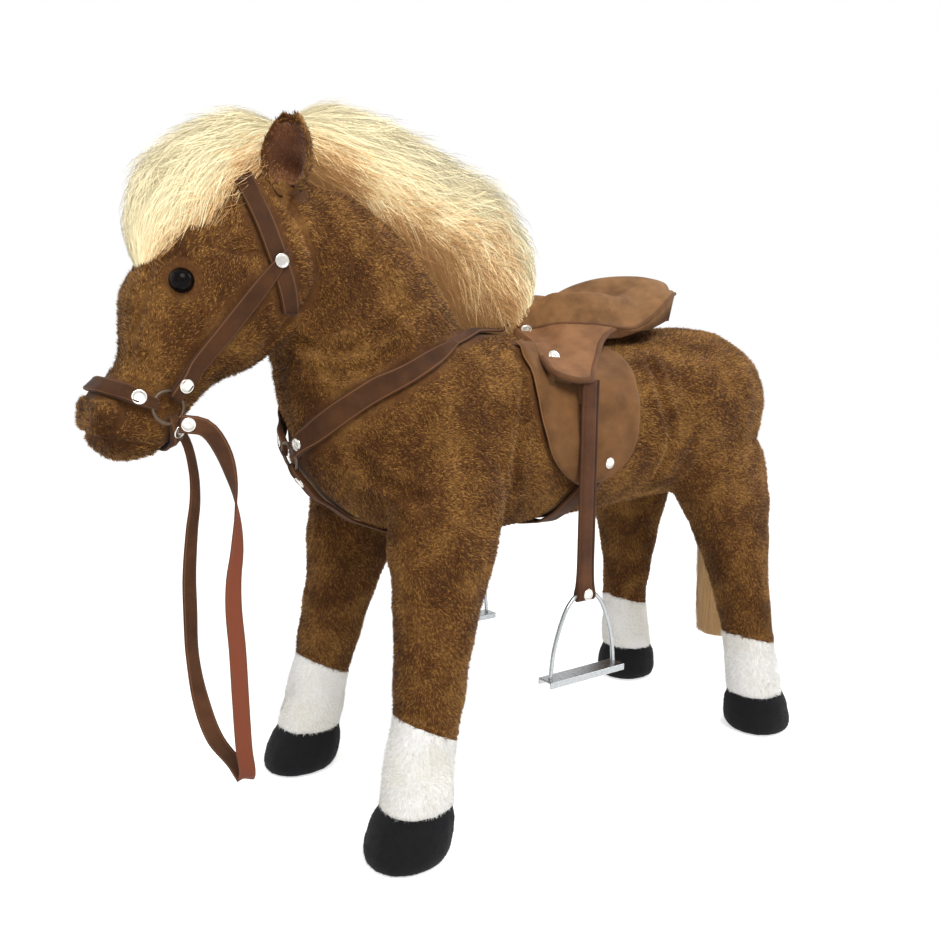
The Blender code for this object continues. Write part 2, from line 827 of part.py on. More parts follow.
HEAD_SWELL_SHARES = (
    (0.30, -12.0, 0.34, 0.07),
    (0.30, 192.0, 0.34, 0.07),
    (0.47, 52.0, 0.16, 0.06),
    (0.47, 128.0, 0.16, 0.06),
    (0.93, 40.0, 0.13, 0.07),
    (0.93, 140.0, 0.13, 0.07),
)
FRONT_LEG_SHARES = (
    (0.00, 0.70, -0.80, 1.05),
    (0.25, 0.78, -0.92, 1.14),
    (0.42, 0.78, -0.84, 1.18),
    (0.56, 0.66, -0.66, 1.14),
    (0.72, 0.55, -0.55, 1.08),
    (0.86, 0.51, -0.51, 1.02),
    (1.00, 0.47, -0.46, 0.94),
)
REAR_LEG_SHARES = (
    (0.00, 1.30, -1.10, 1.10),
    (0.22, 1.18, -1.20, 1.22),
    (0.42, 0.92, -1.00, 1.24),
    (0.56, 0.66, -0.78, 1.18),
    (0.72, 0.50, -0.60, 1.08),
    (0.86, 0.47, -0.51, 0.98),
    (1.00, 0.46, -0.46, 0.93),
)


def torso_form():
    """The barrel of the body, from the chest to the rump."""
    return Form(
        origin=(0.0, TORSO_FRONT_Y, BELLY_HEIGHT),
        line=(0.0, TORSO_LENGTH, 0.0),
        up=(0.0, 0.0, 1.0),
        side=(1.0, 0.0, 0.0),
        depth=TORSO_DEPTH,
        width=TORSO_WIDTH,
        station_shares=TORSO_SHARES,
        domes=(0.16, 0.17),
        fullness=2.45,
    )


def neck_form():
    """The neck, whose upward direction is the throat's."""
    rise = Vector((0.0, -math.sin(NECK_LEAN), math.cos(NECK_LEAN)))
    base = (0.0, TORSO_FRONT_Y + NECK_BASE_BACK, BELLY_HEIGHT + NECK_BASE_RISE)
    return Form(
        origin=base,
        line=rise * NECK_LENGTH,
        up=(0.0, -math.cos(NECK_LEAN), -math.sin(NECK_LEAN)),
        side=(1.0, 0.0, 0.0),
        depth=NECK_DEPTH,
        width=NECK_WIDTH,
        station_shares=NECK_SHARES,
        domes=(0.14, 0.12),
        fullness=2.15,
    )


def head_form():
    """The head, nose down, from its round back to the muzzle."""
    nose = Vector((0.0, -math.cos(HEAD_DIP), -math.sin(HEAD_DIP)))
    return Form(
        origin=(0.0, HEAD_BACK_Y, HEAD_BACK_Z),
        line=nose * HEAD_LENGTH,
        up=(0.0, -math.sin(HEAD_DIP), math.cos(HEAD_DIP)),
        side=(1.0, 0.0, 0.0),
        depth=HEAD_DEPTH,
        width=HEAD_WIDTH,
        station_shares=HEAD_SHARES,
        domes=(0.20, 0.15),
        fullness=2.25,
    )


def foot_point(is_front, side, height):
    """The middle of a leg at a height below the sock's top."""
    hoof_y = FRONT_HOOF_Y if is_front else REAR_HOOF_Y
    lean = FRONT_FOOT_LEAN if is_front else -REAR_FOOT_LEAN
    return Vector((side * (HOOF_SPREAD - height * FOOT_SPLAY), hoof_y + height * lean, height))


def leg_form(is_front, side):
    """The brown part of a leg, from inside the torso to its sock."""
    top = Vector(FRONT_LEG_TOP if is_front else REAR_LEG_TOP)
    top.x *= side
    foot = foot_point(is_front, side, HOOF_HEIGHT + SOCK_HEIGHT)
    return Form(
        origin=top,
        line=foot - top,
        up=(0.0, -1.0, 0.0),
        side=(side, 0.0, 0.0),
        depth=LEG_DEPTH,
        width=LEG_WIDTH,
        station_shares=FRONT_LEG_SHARES if is_front else REAR_LEG_SHARES,
        domes=(0.16, 0.0),
        fullness=2.15,
        tilts=(0.0, FRONT_SOCK_TILT if is_front else REAR_SOCK_TILT),
    )


def sock_form(is_front, side):
    """The white sock between a leg and its hoof."""
    top = foot_point(is_front, side, HOOF_HEIGHT + SOCK_HEIGHT)
    low = foot_point(is_front, side, HOOF_HEIGHT)
    drop = (low - top).normalized() * GAP
    return Form(
        origin=top + drop,
        line=low - top - drop,
        up=(0.0, -1.0, 0.0),
        side=(side, 0.0, 0.0),
        depth=LEG_DEPTH,
        width=LEG_WIDTH,
        station_shares=(
            (0.00, 0.48, -0.47, 0.96),
            (0.50, 0.48, -0.48, 0.98),
            (1.00, 0.50, -0.50, 1.04),
        ),
        fullness=2.1,
        tilts=(FRONT_SOCK_TILT if is_front else REAR_SOCK_TILT, 0.0),
    )


def hoof_form(is_front, side):
    """The padded black hoof, flat where it stands."""
    top = foot_point(is_front, side, HOOF_HEIGHT - GAP)
    low = foot_point(is_front, side, 0.0)
    return Form(
        origin=top,
        line=low - top,
        up=(0.0, -1.0, 0.0),
        side=(side, 0.0, 0.0),
        depth=HOOF_LENGTH,
        width=HOOF_WIDTH,
        station_shares=(
            (0.00, 0.36, -0.40, 0.80),
            (0.14, 0.45, -0.45, 0.93),
            (0.42, 0.51, -0.47, 0.99),
            (0.75, 0.54, -0.47, 1.00),
            (0.92, 0.53, -0.45, 0.95),
            (1.00, 0.49, -0.41, 0.86),
        ),
        fullness=2.2,
    )


def make_frame():
    """The welded steel frame that carries a rider's weight."""

    def arch(is_front):
        inner = Vector(FRONT_LEG_TOP if is_front else REAR_LEG_TOP)
        route = []
        for side in (LEFT, RIGHT):
            foot = foot_point(is_front, side, FRAME_FOOT)
            ankle = foot_point(is_front, side, HOOF_HEIGHT + SOCK_HEIGHT)
            hip = Vector((side * inner.x, inner.y, FRAME_RIDE - FRAME_BEND))
            crown = Vector((side * (inner.x - FRAME_BEND), inner.y, FRAME_RIDE))
            bend = hip.lerp(crown, 0.5) + Vector((side, 0.0, 1.0)) * FRAME_BEND * BEND_BULGE_SHARE
            half = [foot, ankle, hip, bend, crown]
            route += half if side == LEFT else half[::-1]
        return route

    def welded(name, route):
        return new_object(name, curve_tube(name, route, FRAME_TUBE / 2, FRAME_SIDES), BLACK_STEEL)

    frame = welded("steel_frame", arch(True))
    front = Vector((0.0, FRONT_LEG_TOP[1], FRAME_RIDE))
    rear = Vector((0.0, REAR_LEG_TOP[1], FRAME_RIDE))
    post_line = Vector((0.0, -math.sin(NECK_LEAN), math.cos(NECK_LEAN))) * NECK_POST_LENGTH
    rear_arch = welded("rear_arch", arch(False))
    spine = welded("spine", [front, (front + rear) / 2, rear])
    post = welded("neck_post", [front, front + post_line / 2, front + post_line])
    fuse(frame, rear_arch, spine, post)

    bpy.ops.mesh.primitive_cube_add(size=1.0)
    board = adopt(bpy.context.active_object, "seat_board", PLYWOOD)
    middle_y = SADDLE_FRONT_Y + SADDLE_LENGTH / 2
    rest_z = FRAME_RIDE + FRAME_TUBE / 2 + GAP + BOARD_THICKNESS / 2
    board.data.transform(
        Matrix.Translation((0.0, middle_y, rest_z))
        @ Matrix.Diagonal((BOARD_WIDTH, BOARD_LENGTH, BOARD_THICKNESS, 1.0))
    )
    return frame, board


def make_body():
    """Torso, neck, head and legs, each cut by the larger ones."""
    frame, board = make_frame()
    frame_cutter = swollen(frame)
    board_cutter = swollen(board, BOARD_CLEARANCE)
    forms = {"torso": torso_form(), "neck": neck_form(), "head": head_form()}
    pieces = {}
    torso_mesh = forms["torso"].mesh("torso", 13, BODY_SIDES, TORSO_SWELL_SHARES)
    pieces["torso"] = new_object("torso", torso_mesh, BROWN_PLUSH)
    head_mesh = forms["head"].mesh("head", 13, BODY_SIDES, HEAD_SWELL_SHARES)
    pieces["head"] = new_object("head", head_mesh, BROWN_PLUSH)
    pieces["neck"] = new_object("neck", forms["neck"].mesh("neck", 9, BODY_SIDES - 4), BROWN_PLUSH)
    torso_cutter = swollen(pieces["torso"])
    head_cutter = swollen(pieces["head"])
    legs = []
    for is_front, where in ((True, "front"), (False, "rear")):
        for side in (LEFT, RIGHT):
            name = f"{where}_leg_{SIDE_NAMES[side]}"
            form = leg_form(is_front, side)
            leg = new_object(name, form.mesh(name, 8, LIMB_SIDES), BROWN_PLUSH)
            pieces[name] = leg
            legs.append(leg)
            for kind, shape, finish, rings in (
                ("sock", sock_form, WHITE_PLUSH, 2),
                ("hoof", hoof_form, BLACK_PLUSH, 5),
            ):
                part = f"{where}_{kind}_{SIDE_NAMES[side]}"
                foot_mesh = shape(is_front, side).mesh(part, rings, LIMB_SIDES)
                pieces[part] = new_object(part, foot_mesh, finish)
    neck_cutter = swollen(pieces["neck"])
    skin = skin_of(pieces["torso"], pieces["neck"], pieces["head"], *legs)
    head_skin = skin_of(pieces["head"], pieces["neck"])
    trim(pieces["neck"], torso_cutter, head_cutter)
    for leg in legs:
        trim(leg, torso_cutter, neck_cutter, frame_cutter)
    for piece in pieces.values():
        if piece not in legs:
            trim(piece, frame_cutter)
    trim(pieces["torso"], board_cutter)
    cutters = {"torso": torso_cutter, "head": head_cutter, "neck": neck_cutter}
    return pieces, cutters, skin, head_skin


# Ears and eyes

EAR_SHARES = (
    (0.00, 0.66),
    (0.22, 0.86),
    (0.46, 1.00),
    (0.70, 0.82),
    (0.88, 0.48),
    (1.00, 0.12),
)
LINING_FROM_SHARE = 0.16
LINING_TO_SHARE = 0.86


def make_ear(side, head_cutter):
    """One cupped ear, open forwards and outwards, and its lining."""
    base = Vector((side * EAR_BASE[0], EAR_BASE[1], EAR_BASE[2]))
    rise = Vector((side * EAR_OUTWARD, 0.0, 1.0)).normalized()
    facing = Vector((side * EAR_TURN, -1.0, 0.0)).normalized()
    across = rise.cross(facing).normalized()
    facing = across.cross(rise).normalized()
    places, halves = zip(*EAR_SHARES)
    columns = 6

    def leaf(rows, first, last, reach, forward):
        grid = []
        for r in range(rows + 1):
            along = first + (last - first) * r / rows
            half = EAR_WIDTH / 2 * blend_value(places, halves, along) * reach
            height = along * (EAR_LENGTH + EAR_SUNK) - EAR_SUNK
            line = []
            for c in range(columns + 1):
                over = -1.0 + 2.0 * c / columns
                cup = EAR_CUP * (over * reach) ** 2 * (1.0 - along * along / 2)
                line.append(base + rise * height + across * half * over + facing * (cup + forward))
            grid.append(line)
        return grid

    name = f"ear_{SIDE_NAMES[side]}"
    ear_mesh = slab(name, leaf(7, 0.0, 1.0, 1.0, -EAR_THICKNESS), leaf(7, 0.0, 1.0, 1.0, 0.0))
    ear = new_object(name, ear_mesh, BROWN_PLUSH)
    name = f"ear_lining_{SIDE_NAMES[side]}"
    shares = (LINING_FROM_SHARE, LINING_TO_SHARE, LINING_REACH_SHARE)
    lining_mesh = slab(name, leaf(5, *shares, LINING_RISE), leaf(5, *shares, LINING_RISE + LINING_THICKNESS))
    lining = new_object(name, lining_mesh, LINING_PLUSH)
    EAR_CUTTERS.extend((swollen(ear), swollen(lining)))
    trim(lining, head_cutter, EAR_CUTTERS[-2])
    trim(ear, head_cutter)
    return ear, lining


def make_eye(side, head_cutter):
    """A round glossy eye, half sunk in the plush."""
    place, normal = HEAD_SURFACE.find_nearest(Vector((side * EYE_PLACE[0], EYE_PLACE[1], EYE_PLACE[2])))[:2]
    bpy.ops.mesh.primitive_uv_sphere_add(segments=14, ring_count=8, radius=EYE_RADIUS)
    eye = adopt(bpy.context.active_object, f"eye_{SIDE_NAMES[side]}", EYE_PLASTIC)
    eye.data.transform(Matrix.Translation(place - normal * EYE_SUNK))
    eye.data.shade_smooth()
    return trim(eye, head_cutter)


# Bridle

def ring_at(name, place, normal, radius=RING_RADIUS):
    """A round wire ring that lies along the plush."""
    bpy.ops.mesh.primitive_torus_add(
        major_radius=radius,
        minor_radius=RING_WIRE,
        major_segments=16,
        minor_segments=5,
    )
    ring = adopt(bpy.context.active_object, name, NICKEL)
    turn = normal.to_track_quat("Z", "Y").to_matrix().to_4x4()
    ring.data.transform(Matrix.Translation(place + normal * RING_REACH) @ turn)
    ring.data.shade_smooth()
    return ring


def out_of_ring(centre, route):
    """A route that starts inside a ring, so that its fold holds the wire."""
    toward = (Vector(route[0]) - centre).normalized()
    return [centre + toward * (RING_RADIUS - RING_INSET), *[Vector(point) for point in route]]


def make_bridle():
    """Rings, noseband, cheek straps, chin strap and crown strap."""
    pieces = {}
    place, normal = HEAD_SURFACE.find_nearest(Vector(BIT_RING))[:2]
    rings = []
    for side in (LEFT, RIGHT):
        name = f"bit_ring_{SIDE_NAMES[side]}"
        centre = place if side == LEFT else mirrored(place)
        out = normal if side == LEFT else mirrored(normal)
        pieces[name] = ring_at(name, centre, out)
        rings.append(swollen(pieces[name]))
    ring_lift = RING_REACH - FOLD_THICKNESS / 2 - STANDOFF
    over_strap = STRAP_THICKNESS + GAP
    for name, route, width in (
        ("noseband", NOSE_ROUTE, BRIDLE_WIDTH),
        ("chin_strap", CHIN_ROUTE, CHIN_WIDTH),
    ):
        pieces[name] = strap(
            name, there_and_back(out_of_ring(place, route)), HEAD_SURFACE, width, STRAP_SUEDE,
            lifts=(ring_lift, ring_lift),
            folds=(FOLD_THICKNESS, FOLD_THICKNESS),
            ends=("tapered", "tapered"),
            rivets=(RIVET_IN, RIVET_IN),
        )
        trim(pieces[name], *rings)
        set_rivets(pieces[name])
    crown = there_and_back(CROWN_ROUTE)[:-1]
    pieces["crown_strap"] = strap("crown_strap", crown, HEAD_SURFACE, BRIDLE_WIDTH, STRAP_SUEDE, closed=True)
    crown_cutter = swollen(pieces["crown_strap"])
    for side in (LEFT, RIGHT):
        name = f"cheek_strap_{SIDE_NAMES[side]}"
        route = out_of_ring(place, CHEEK_ROUTE[::-1])[::-1]
        if side == RIGHT:
            route = [mirrored(point) for point in route]
        pieces[name] = strap(
            name, route, HEAD_SURFACE, BRIDLE_WIDTH, STRAP_SUEDE,
            lifts=(over_strap, ring_lift),
            folds=(0.0, FOLD_THICKNESS),
            ends=("round", "tapered"),
            rivets=(RIVET_END_IN, RIVET_IN),
        )
        trim(pieces[name], *rings, crown_cutter)
        set_rivets(pieces[name])
    return pieces, place + normal * RING_REACH, normal


# Breast harness and girth

def make_harness():
    """Chest ring, breast straps, ties, lower strap and girth."""
    pieces = {}
    place, normal = BODY_SURFACE.find_nearest(Vector(CHEST_RING))[:2]
    pieces["chest_ring"] = ring_at("chest_ring", place, normal)
    ring = swollen(pieces["chest_ring"])
    ring_lift = RING_REACH - FOLD_THICKNESS / 2 - STANDOFF
    over_strap = STRAP_THICKNESS + GAP
    ties = {}
    for side in (LEFT, RIGHT):
        tie = f"saddle_tie_{SIDE_NAMES[side]}"
        breast = f"breast_strap_{SIDE_NAMES[side]}"
        tie_route, breast_route = TIE_ROUTE, out_of_ring(place, BREAST_ROUTE)
        if side == RIGHT:
            tie_route = [mirrored(point) for point in tie_route]
            breast_route = [mirrored(point) for point in breast_route]
        pieces[tie] = strap(
            tie, tie_route, BODY_SURFACE, TIE_WIDTH, STRAP_SUEDE,
            step=HARNESS_STEP,
            lifts=(0.0, SADDLE_STEP),
            ends=("square", "round"),
        )
        TIE_CUTTERS.append(swollen(pieces[tie]))
        pieces[breast] = strap(
            breast, breast_route, BODY_SURFACE, BREAST_WIDTH, STRAP_SUEDE,
            step=HARNESS_STEP,
            lifts=(ring_lift, over_strap),
            folds=(FOLD_THICKNESS, 0.0),
            ends=("tapered", "round"),
            rivets=(RIVET_IN, 0.0),
        )
        trim(pieces[breast], ring, TIE_CUTTERS[-1])
        set_rivets(pieces[breast])
    pieces["breast_strap_lower"] = strap(
        "breast_strap_lower", out_of_ring(place, LOWER_ROUTE), BODY_SURFACE, LOWER_WIDTH, STRAP_SUEDE,
        step=HARNESS_STEP,
        lifts=(ring_lift, over_strap),
        folds=(FOLD_THICKNESS, 0.0),
        ends=("tapered", "round"),
        lap=GIRTH_LAP,
        rivets=(RIVET_IN, 0.0),
    )
    pieces["girth"] = strap(
        "girth", there_and_back(GIRTH_ROUTE), BODY_SURFACE, GIRTH_WIDTH, STRAP_SUEDE, step=HARNESS_STEP)
    trim(pieces["breast_strap_lower"], ring, swollen(pieces["girth"]))
    set_rivets(pieces["breast_strap_lower"])
    return pieces


# Saddle

SKIRT_SHARES = (
    (0.00, 0.00, 1.00),
    (0.25, -0.01, 0.90),
    (0.40, -0.02, 0.62),
    (0.48, -0.03, 0.46),
    (0.60, -0.05, 0.31),
    (0.74, -0.08, 0.22),
    (0.88, -0.09, 0.14),
    (0.96, -0.05, 0.10),
    (1.00, 0.00, 0.08),
)
SEAT_SHARES = (
    (0.00, 0.66, 0.20),
    (0.10, 0.84, 0.37),
    (0.35, 1.00, 0.80),
    (0.64, 1.00, 0.99),
    (0.80, 0.92, 1.02),
    (0.90, 0.80, 0.97),
    (1.00, 0.52, 0.70),
)
FLAP_SHARES = (
    (0.00, 0.00, 1.04),
    (0.21, 0.00, 1.03),
    (0.57, 0.06, 0.99),
    (0.74, 0.12, 0.94),
    (0.88, 0.24, 0.84),
    (1.00, 0.42, 0.66),
)
FLAP_LIFT_SHARE = 0.42
FLAP_LIFT_FADE_SHARE = 0.25
REAR_FROM_SHARE = 0.32
REAR_FADE_SHARE = 0.5
PADDED_SHARE = 0.45
PADDING_FADE_SHARE = 0.35
CROWN_FULLNESS = 2.4
ROLL_FROM_SHARE = 0.30
ROLL_FADE_SHARE = 0.40
ROLL_PLACE_SHARE = 0.74
DIP_PLACE_SHARE = 0.36
ROLL_SPREAD_SHARE = 0.2
RIM_SHARE = 0.88
RIM_DROP_SHARE = 0.7


def skirt_height(across, along):
    """Height of the skirt's upper face over the pony's back."""
    drop = SKIRT_DROP * abs(across) ** SKIRT_CURVE
    rise = SADDLE_REAR_RISE * smooth_step((along - REAR_FROM_SHARE) / REAR_FADE_SHARE)
    return SADDLE_RIDGE_Z - drop + rise


def edge_spread(share):
    """Rows a little closer together towards both edges."""
    return share - math.sin(2 * math.pi * share) / (2 * math.pi) / 2


def make_skirt():
    """The roof-shaped padded skirt with its bound edge."""
    places, front, rear = zip(*SKIRT_SHARES)
    rows, columns = 7, 14
    outer, inner = [], []
    for r in range(rows + 1):
        outer.append([])
        inner.append([])
        for c in range(columns + 1):
            across = -1.0 + 2.0 * edge_spread(c / columns)
            start = blend_value(places, front, abs(across))
            end = blend_value(places, rear, abs(across))
            along = start + (end - start) * edge_spread(r / rows)
            x = across * SKIRT_SPAN
            y = SADDLE_FRONT_Y + SADDLE_LENGTH * along
            z = skirt_height(across, max(along, 0.0))
            bound = SKIRT_BINDING if r in (0, rows) or c in (0, columns) else 0.0
            padding = SKIRT_PADDING * (1.0 - smooth_step((abs(across) - PADDED_SHARE) / PADDING_FADE_SHARE))
            outer[r].append(Vector((x, y, z + bound)))
            inner[r].append(Vector((x, y, z - SKIRT_THICKNESS - padding)))
    return new_object("saddle_skirt", slab("saddle_skirt", outer, inner), SADDLE_SUEDE)


def make_seat():
    """The stuffed seat: a crowned cushion with a roll down each side."""
    places, widths, crowns = zip(*SEAT_SHARES)
    rows, columns = 11, 10
    length = SADDLE_LENGTH - 2 * SEAT_SETBACK
    top, bottom = [], []
    for r in range(rows + 1):
        top.append([])
        bottom.append([])
        share = edge_spread(r / rows)
        half = SEAT_WIDTH / 2 * blend_value(places, widths, share)
        crown_z = SADDLE_RIDGE_Z + SEAT_HEIGHT * blend_value(places, crowns, share)
        y = SADDLE_FRONT_Y + SEAT_SETBACK + length * share
        along = (y - SADDLE_FRONT_Y) / SADDLE_LENGTH
        roll = SEAT_ROLL * (1.0 - smooth_step((share - ROLL_FROM_SHARE) / ROLL_FADE_SHARE))
        edge_z = skirt_height(half / SKIRT_SPAN, along) + SEAT_EDGE
        for c in range(columns + 1):
            across = -1.0 + 2.0 * edge_spread(c / columns)
            x = across * half
            floor = skirt_height(x / SKIRT_SPAN, along)
            z = edge_z + (crown_z - edge_z) * (1.0 - abs(across) ** CROWN_FULLNESS)
            z += roll * math.exp(-((abs(across) - ROLL_PLACE_SHARE) / ROLL_SPREAD_SHARE) ** 2)
            z -= roll / 2 * math.exp(-((abs(across) - DIP_PLACE_SHARE) / ROLL_SPREAD_SHARE) ** 2)
            z -= SEAT_EDGE * RIM_DROP_SHARE * smooth_step((abs(across) - RIM_SHARE) / (1.0 - RIM_SHARE))
            top[r].append(Vector((x, y, max(z, floor + SEAT_EDGE / 2))))
            bottom[r].append(Vector((x, y, floor - SEAT_ROOT)))
    return new_object("saddle_seat", slab("saddle_seat", top, bottom), SADDLE_SUEDE)


def make_flap(side):
    """One flap that hangs down the pony's side under the skirt."""
    places, front, rear = zip(*FLAP_SHARES)
    rows, columns = 7, 4
    guide = []
    for r in range(rows + 1):
        start = blend_value(places, front, r / rows)
        end = blend_value(places, rear, r / rows)
        z = FLAP_TOP_Z - FLAP_DROP * r / rows
        line = []
        for c in range(columns + 1):
            y = FLAP_FRONT_Y + FLAP_LENGTH * (start + (end - start) * c / columns)
            beyond = Vector((side * CAST_REACH, y, z))
            line.append(BODY_SURFACE.ray_cast(beyond, Vector((-side, 0.0, 0.0)))[0])
        guide.append(line)

    def rise(row, _column):
        share = smooth_step((row / rows - FLAP_LIFT_SHARE) / FLAP_LIFT_FADE_SHARE)
        return STANDOFF + (STRAP_THICKNESS + GAP) * share

    name = f"saddle_flap_{SIDE_NAMES[side]}"
    mesh = laid_sheet(name, guide, BODY_SURFACE, lambda *_: FLAP_THICKNESS, rise)[0]
    flap = new_object(name, mesh, FLAP_SUEDE)
    rivet = Vector((side * FLAP_RIVET[0], *FLAP_RIVET[1:]))
    RIVET_SEATS[name] = [surface_of(flap).find_nearest(rivet)[:2]]
    return flap


def make_hanger(side, pivot, flap, torso_cutter):
    """The steel block and pin that the stirrup leather turns on."""
    name = f"stirrup_hanger_{SIDE_NAMES[side]}"
    face = LEATHER_FACE_X - GAP
    bpy.ops.mesh.primitive_cube_add(size=1.0)
    hanger = adopt(bpy.context.active_object, name, BLACK_STEEL)
    middle = Vector((side * (face - HANGER_DEPTH / 2), pivot.y, pivot.z))
    hanger.data.transform(
        Matrix.Translation(middle) @ Matrix.Diagonal((HANGER_DEPTH, HANGER_WIDTH, HANGER_HEIGHT, 1.0)))
    bpy.ops.mesh.primitive_cylinder_add(vertices=14, radius=HANGER_PIN, depth=HANGER_REACH * 2)
    pin = bpy.context.active_object
    pin.data.transform(
        Matrix.Translation((side * face, pivot.y, pivot.z)) @ Matrix.Rotation(math.pi / 2, 4, "Y"))
    pin.parent = STAND
    fuse(hanger, pin)
    return trim(hanger, torso_cutter, swollen(flap, HANGER_CLEARANCE))


def make_saddle():
    """Flaps, padded skirt and stuffed seat."""
    pieces = {}
    torso_cutter = BODY_CUTTERS["torso"]
    girth_cutter = swollen(HARNESS["girth"])
    cutters = []
    for side in (LEFT, RIGHT):
        flap = make_flap(side)
        pivot = Vector((side * LEATHER_FACE_X, LEATHER_Y, LEATHER_HINGE_Z))
        hanger = make_hanger(side, pivot, flap, torso_cutter)
        cutters += [swollen(flap), swollen(hanger)]
        trim(flap, girth_cutter)
        set_rivets(flap)
        pieces[flap.name] = flap
        pieces[hanger.name] = hanger
    skirt = make_skirt()
    skirt_cutter = swollen(skirt)
    trim(skirt, torso_cutter, BODY_CUTTERS["neck"], *cutters)
    seat = make_seat()
    SADDLE_CUTTERS.extend((skirt_cutter, swollen(seat)))
    trim(seat, skirt_cutter, *TIE_CUTTERS)
    for name in SIDE_NAMES.values():
        trim(HARNESS[f"saddle_tie_{name}"], skirt_cutter)
    pieces["saddle_skirt"] = skirt
    pieces["saddle_seat"] = seat
    return pieces


# Mane, forelock and tail

def mane_form():
    """The long hair that stands along the crest of the neck."""
    line = Vector((0.0, math.cos(MANE_DIP), -math.sin(MANE_DIP)))
    return Form(
        origin=(0.0, MANE_FRONT_Y, MANE_FRONT_Z),
        line=line * MANE_LENGTH,
        up=(0.0, math.sin(MANE_DIP), math.cos(MANE_DIP)),
        side=(1.0, 0.0, 0.0),
        depth=MANE_DEPTH,
        width=MANE_WIDTH,
        station_shares=(
            (0.00, 0.50, -0.20, 0.80),
            (0.25, 0.73, -0.15, 0.95),
            (0.45, 0.88, -0.15, 1.00),
            (0.65, 1.00, -0.15, 1.00),
            (0.80, 0.93, -0.15, 0.95),
            (0.92, 0.76, -0.10, 0.90),
            (1.00, 0.58, 0.00, 0.80),
        ),
        domes=(0.10, 0.14),
        fullness=2.0,
    )


def forelock_form():
    """The tuft that falls forward between the ears."""
    head = head_form()
    line = head.line.normalized()
    return Form(
        origin=head.origin + line * FORELOCK_BACK + head.up * FORELOCK_RISE,
        line=line * FORELOCK_LENGTH,
        up=head.up,
        side=(1.0, 0.0, 0.0),
        depth=FORELOCK_DEPTH,
        width=FORELOCK_WIDTH,
        station_shares=(
            (0.00, 0.62, -0.10, 0.50),
            (0.18, 0.82, -0.10, 0.62),
            (0.40, 0.96, -0.10, 0.92),
            (0.65, 1.00, -0.10, 1.00),
            (0.85, 0.80, -0.05, 0.86),
            (1.00, 0.55, 0.05, 0.60),
        ),
        domes=(0.18, 0.16),
        fullness=2.0,
    )


def tail_form(dock):
    """The tail, which hangs from its dock at the top of the rump."""
    return Form(
        origin=dock,
        line=(0.0, TAIL_SWEEP, -TAIL_LENGTH),
        up=(0.0, 1.0, 0.0),
        side=(1.0, 0.0, 0.0),
        depth=TAIL_DEPTH,
        width=TAIL_WIDTH,
        station_shares=(
            (0.00, 0.26, -0.10, 0.50),
            (0.10, 0.42, -0.22, 0.66),
            (0.28, 0.50, -0.42, 0.92),
            (0.55, 0.46, -0.50, 1.00),
            (0.80, 0.40, -0.46, 0.86),
            (1.00, 0.30, -0.36, 0.60),
        ),
        domes=(0.06, 0.10),
        fullness=2.0,
    )


def make_hair():
    """Mane, forelock and the hinged tail, cut by what they grow from."""
    body = list(BODY_CUTTERS.values())
    crown = swollen(BRIDLE["crown_strap"], STANDOFF * 2)
    mane = new_object("neck_mane", mane_form().mesh("neck_mane", 8, HAIR_SIDES), BLOND_HAIR)
    mane_cutter = swollen(mane)
    trim(mane, *body, *EAR_CUTTERS, crown, *TIE_CUTTERS, *SADDLE_CUTTERS)
    forelock = new_object("forelock", forelock_form().mesh("forelock", 6, HAIR_SIDES), BLOND_HAIR)
    trim(forelock, BODY_CUTTERS["head"], BODY_CUTTERS["neck"], *EAR_CUTTERS, crown, mane_cutter)
    beyond = Vector((0.0, TORSO_FRONT_Y + TORSO_LENGTH + OVERRUN, TAIL_ROOT_Z))
    rump = BODY_SURFACE.ray_cast(beyond, Vector((0.0, -1.0, 0.0)))[0]
    dock = rump + Vector((0.0, TAIL_STANDOFF, 0.0))
    hinge = hinge_empty("tail_hinge", dock)
    tail = new_object("tail", tail_form(dock).mesh("tail", 7, HAIR_SIDES), TAIL_HAIR, hinge)
    trim(tail, BODY_CUTTERS["torso"])
    return {"neck_mane": mane, "forelock": forelock, "tail": tail}


# Stirrups

BOW_SHARES = (
    (0.36, 0.02),
    (0.55, 0.13),
    (0.76, 0.36),
    (0.93, 0.66),
    (1.00, 1.00),
)
LOOP_SHARES = (
    (0.40, 0.42),
    (0.70, 0.62),
    (0.88, 0.90),
)
WRAP_SHARES = (
    (0.00, 1.00),
    (0.60, 0.84),
    (1.00, 0.42),
)
LEATHER_TOP_DEGREES = (76, 54, 30, 0)
BOW_STEP_SHARE = 0.7
TREAD_ROW_SHARES = (-0.5, -0.25, 0.0, 0.25, 0.5)


def make_leather(side, pivot, hinge):
    """One stirrup leather, folded round the bow at its lower end."""
    name = f"leather_{SIDE_NAMES[side]}"
    radius = LEATHER_WIDTH / 2
    rows = []
    for degrees in LEATHER_TOP_DEGREES:
        turn = math.radians(degrees)
        rows.append((radius * math.sin(turn), radius * math.cos(turn), LEATHER_THICKNESS))
    plain = LEATHER_DROP - LOOP_HEIGHT
    rows += [(-plain * k / 4, radius, LEATHER_THICKNESS) for k in range(1, 5)]
    rows += [(-plain - LOOP_HEIGHT * along, radius, LOOP_THICKNESS * thick) for along, thick in LOOP_SHARES]
    under = BOW_WIRE / 2 + LEATHER_THICKNESS
    rows += [(-LEATHER_DROP - under * below, radius, LOOP_THICKNESS * thick) for below, thick in WRAP_SHARES]
    outer, inner = [], []
    for height, half, thick in rows:
        line = [pivot + Vector((0.0, half * share, height)) for share in (-1.0, 0.0, 1.0)]
        outer.append([point + Vector((thick / 2, 0.0, 0.0)) for point in line])
        inner.append([point - Vector((thick / 2, 0.0, 0.0)) for point in line])
    return new_object(name, slab(name, outer, inner), STRAP_SUEDE, hinge)


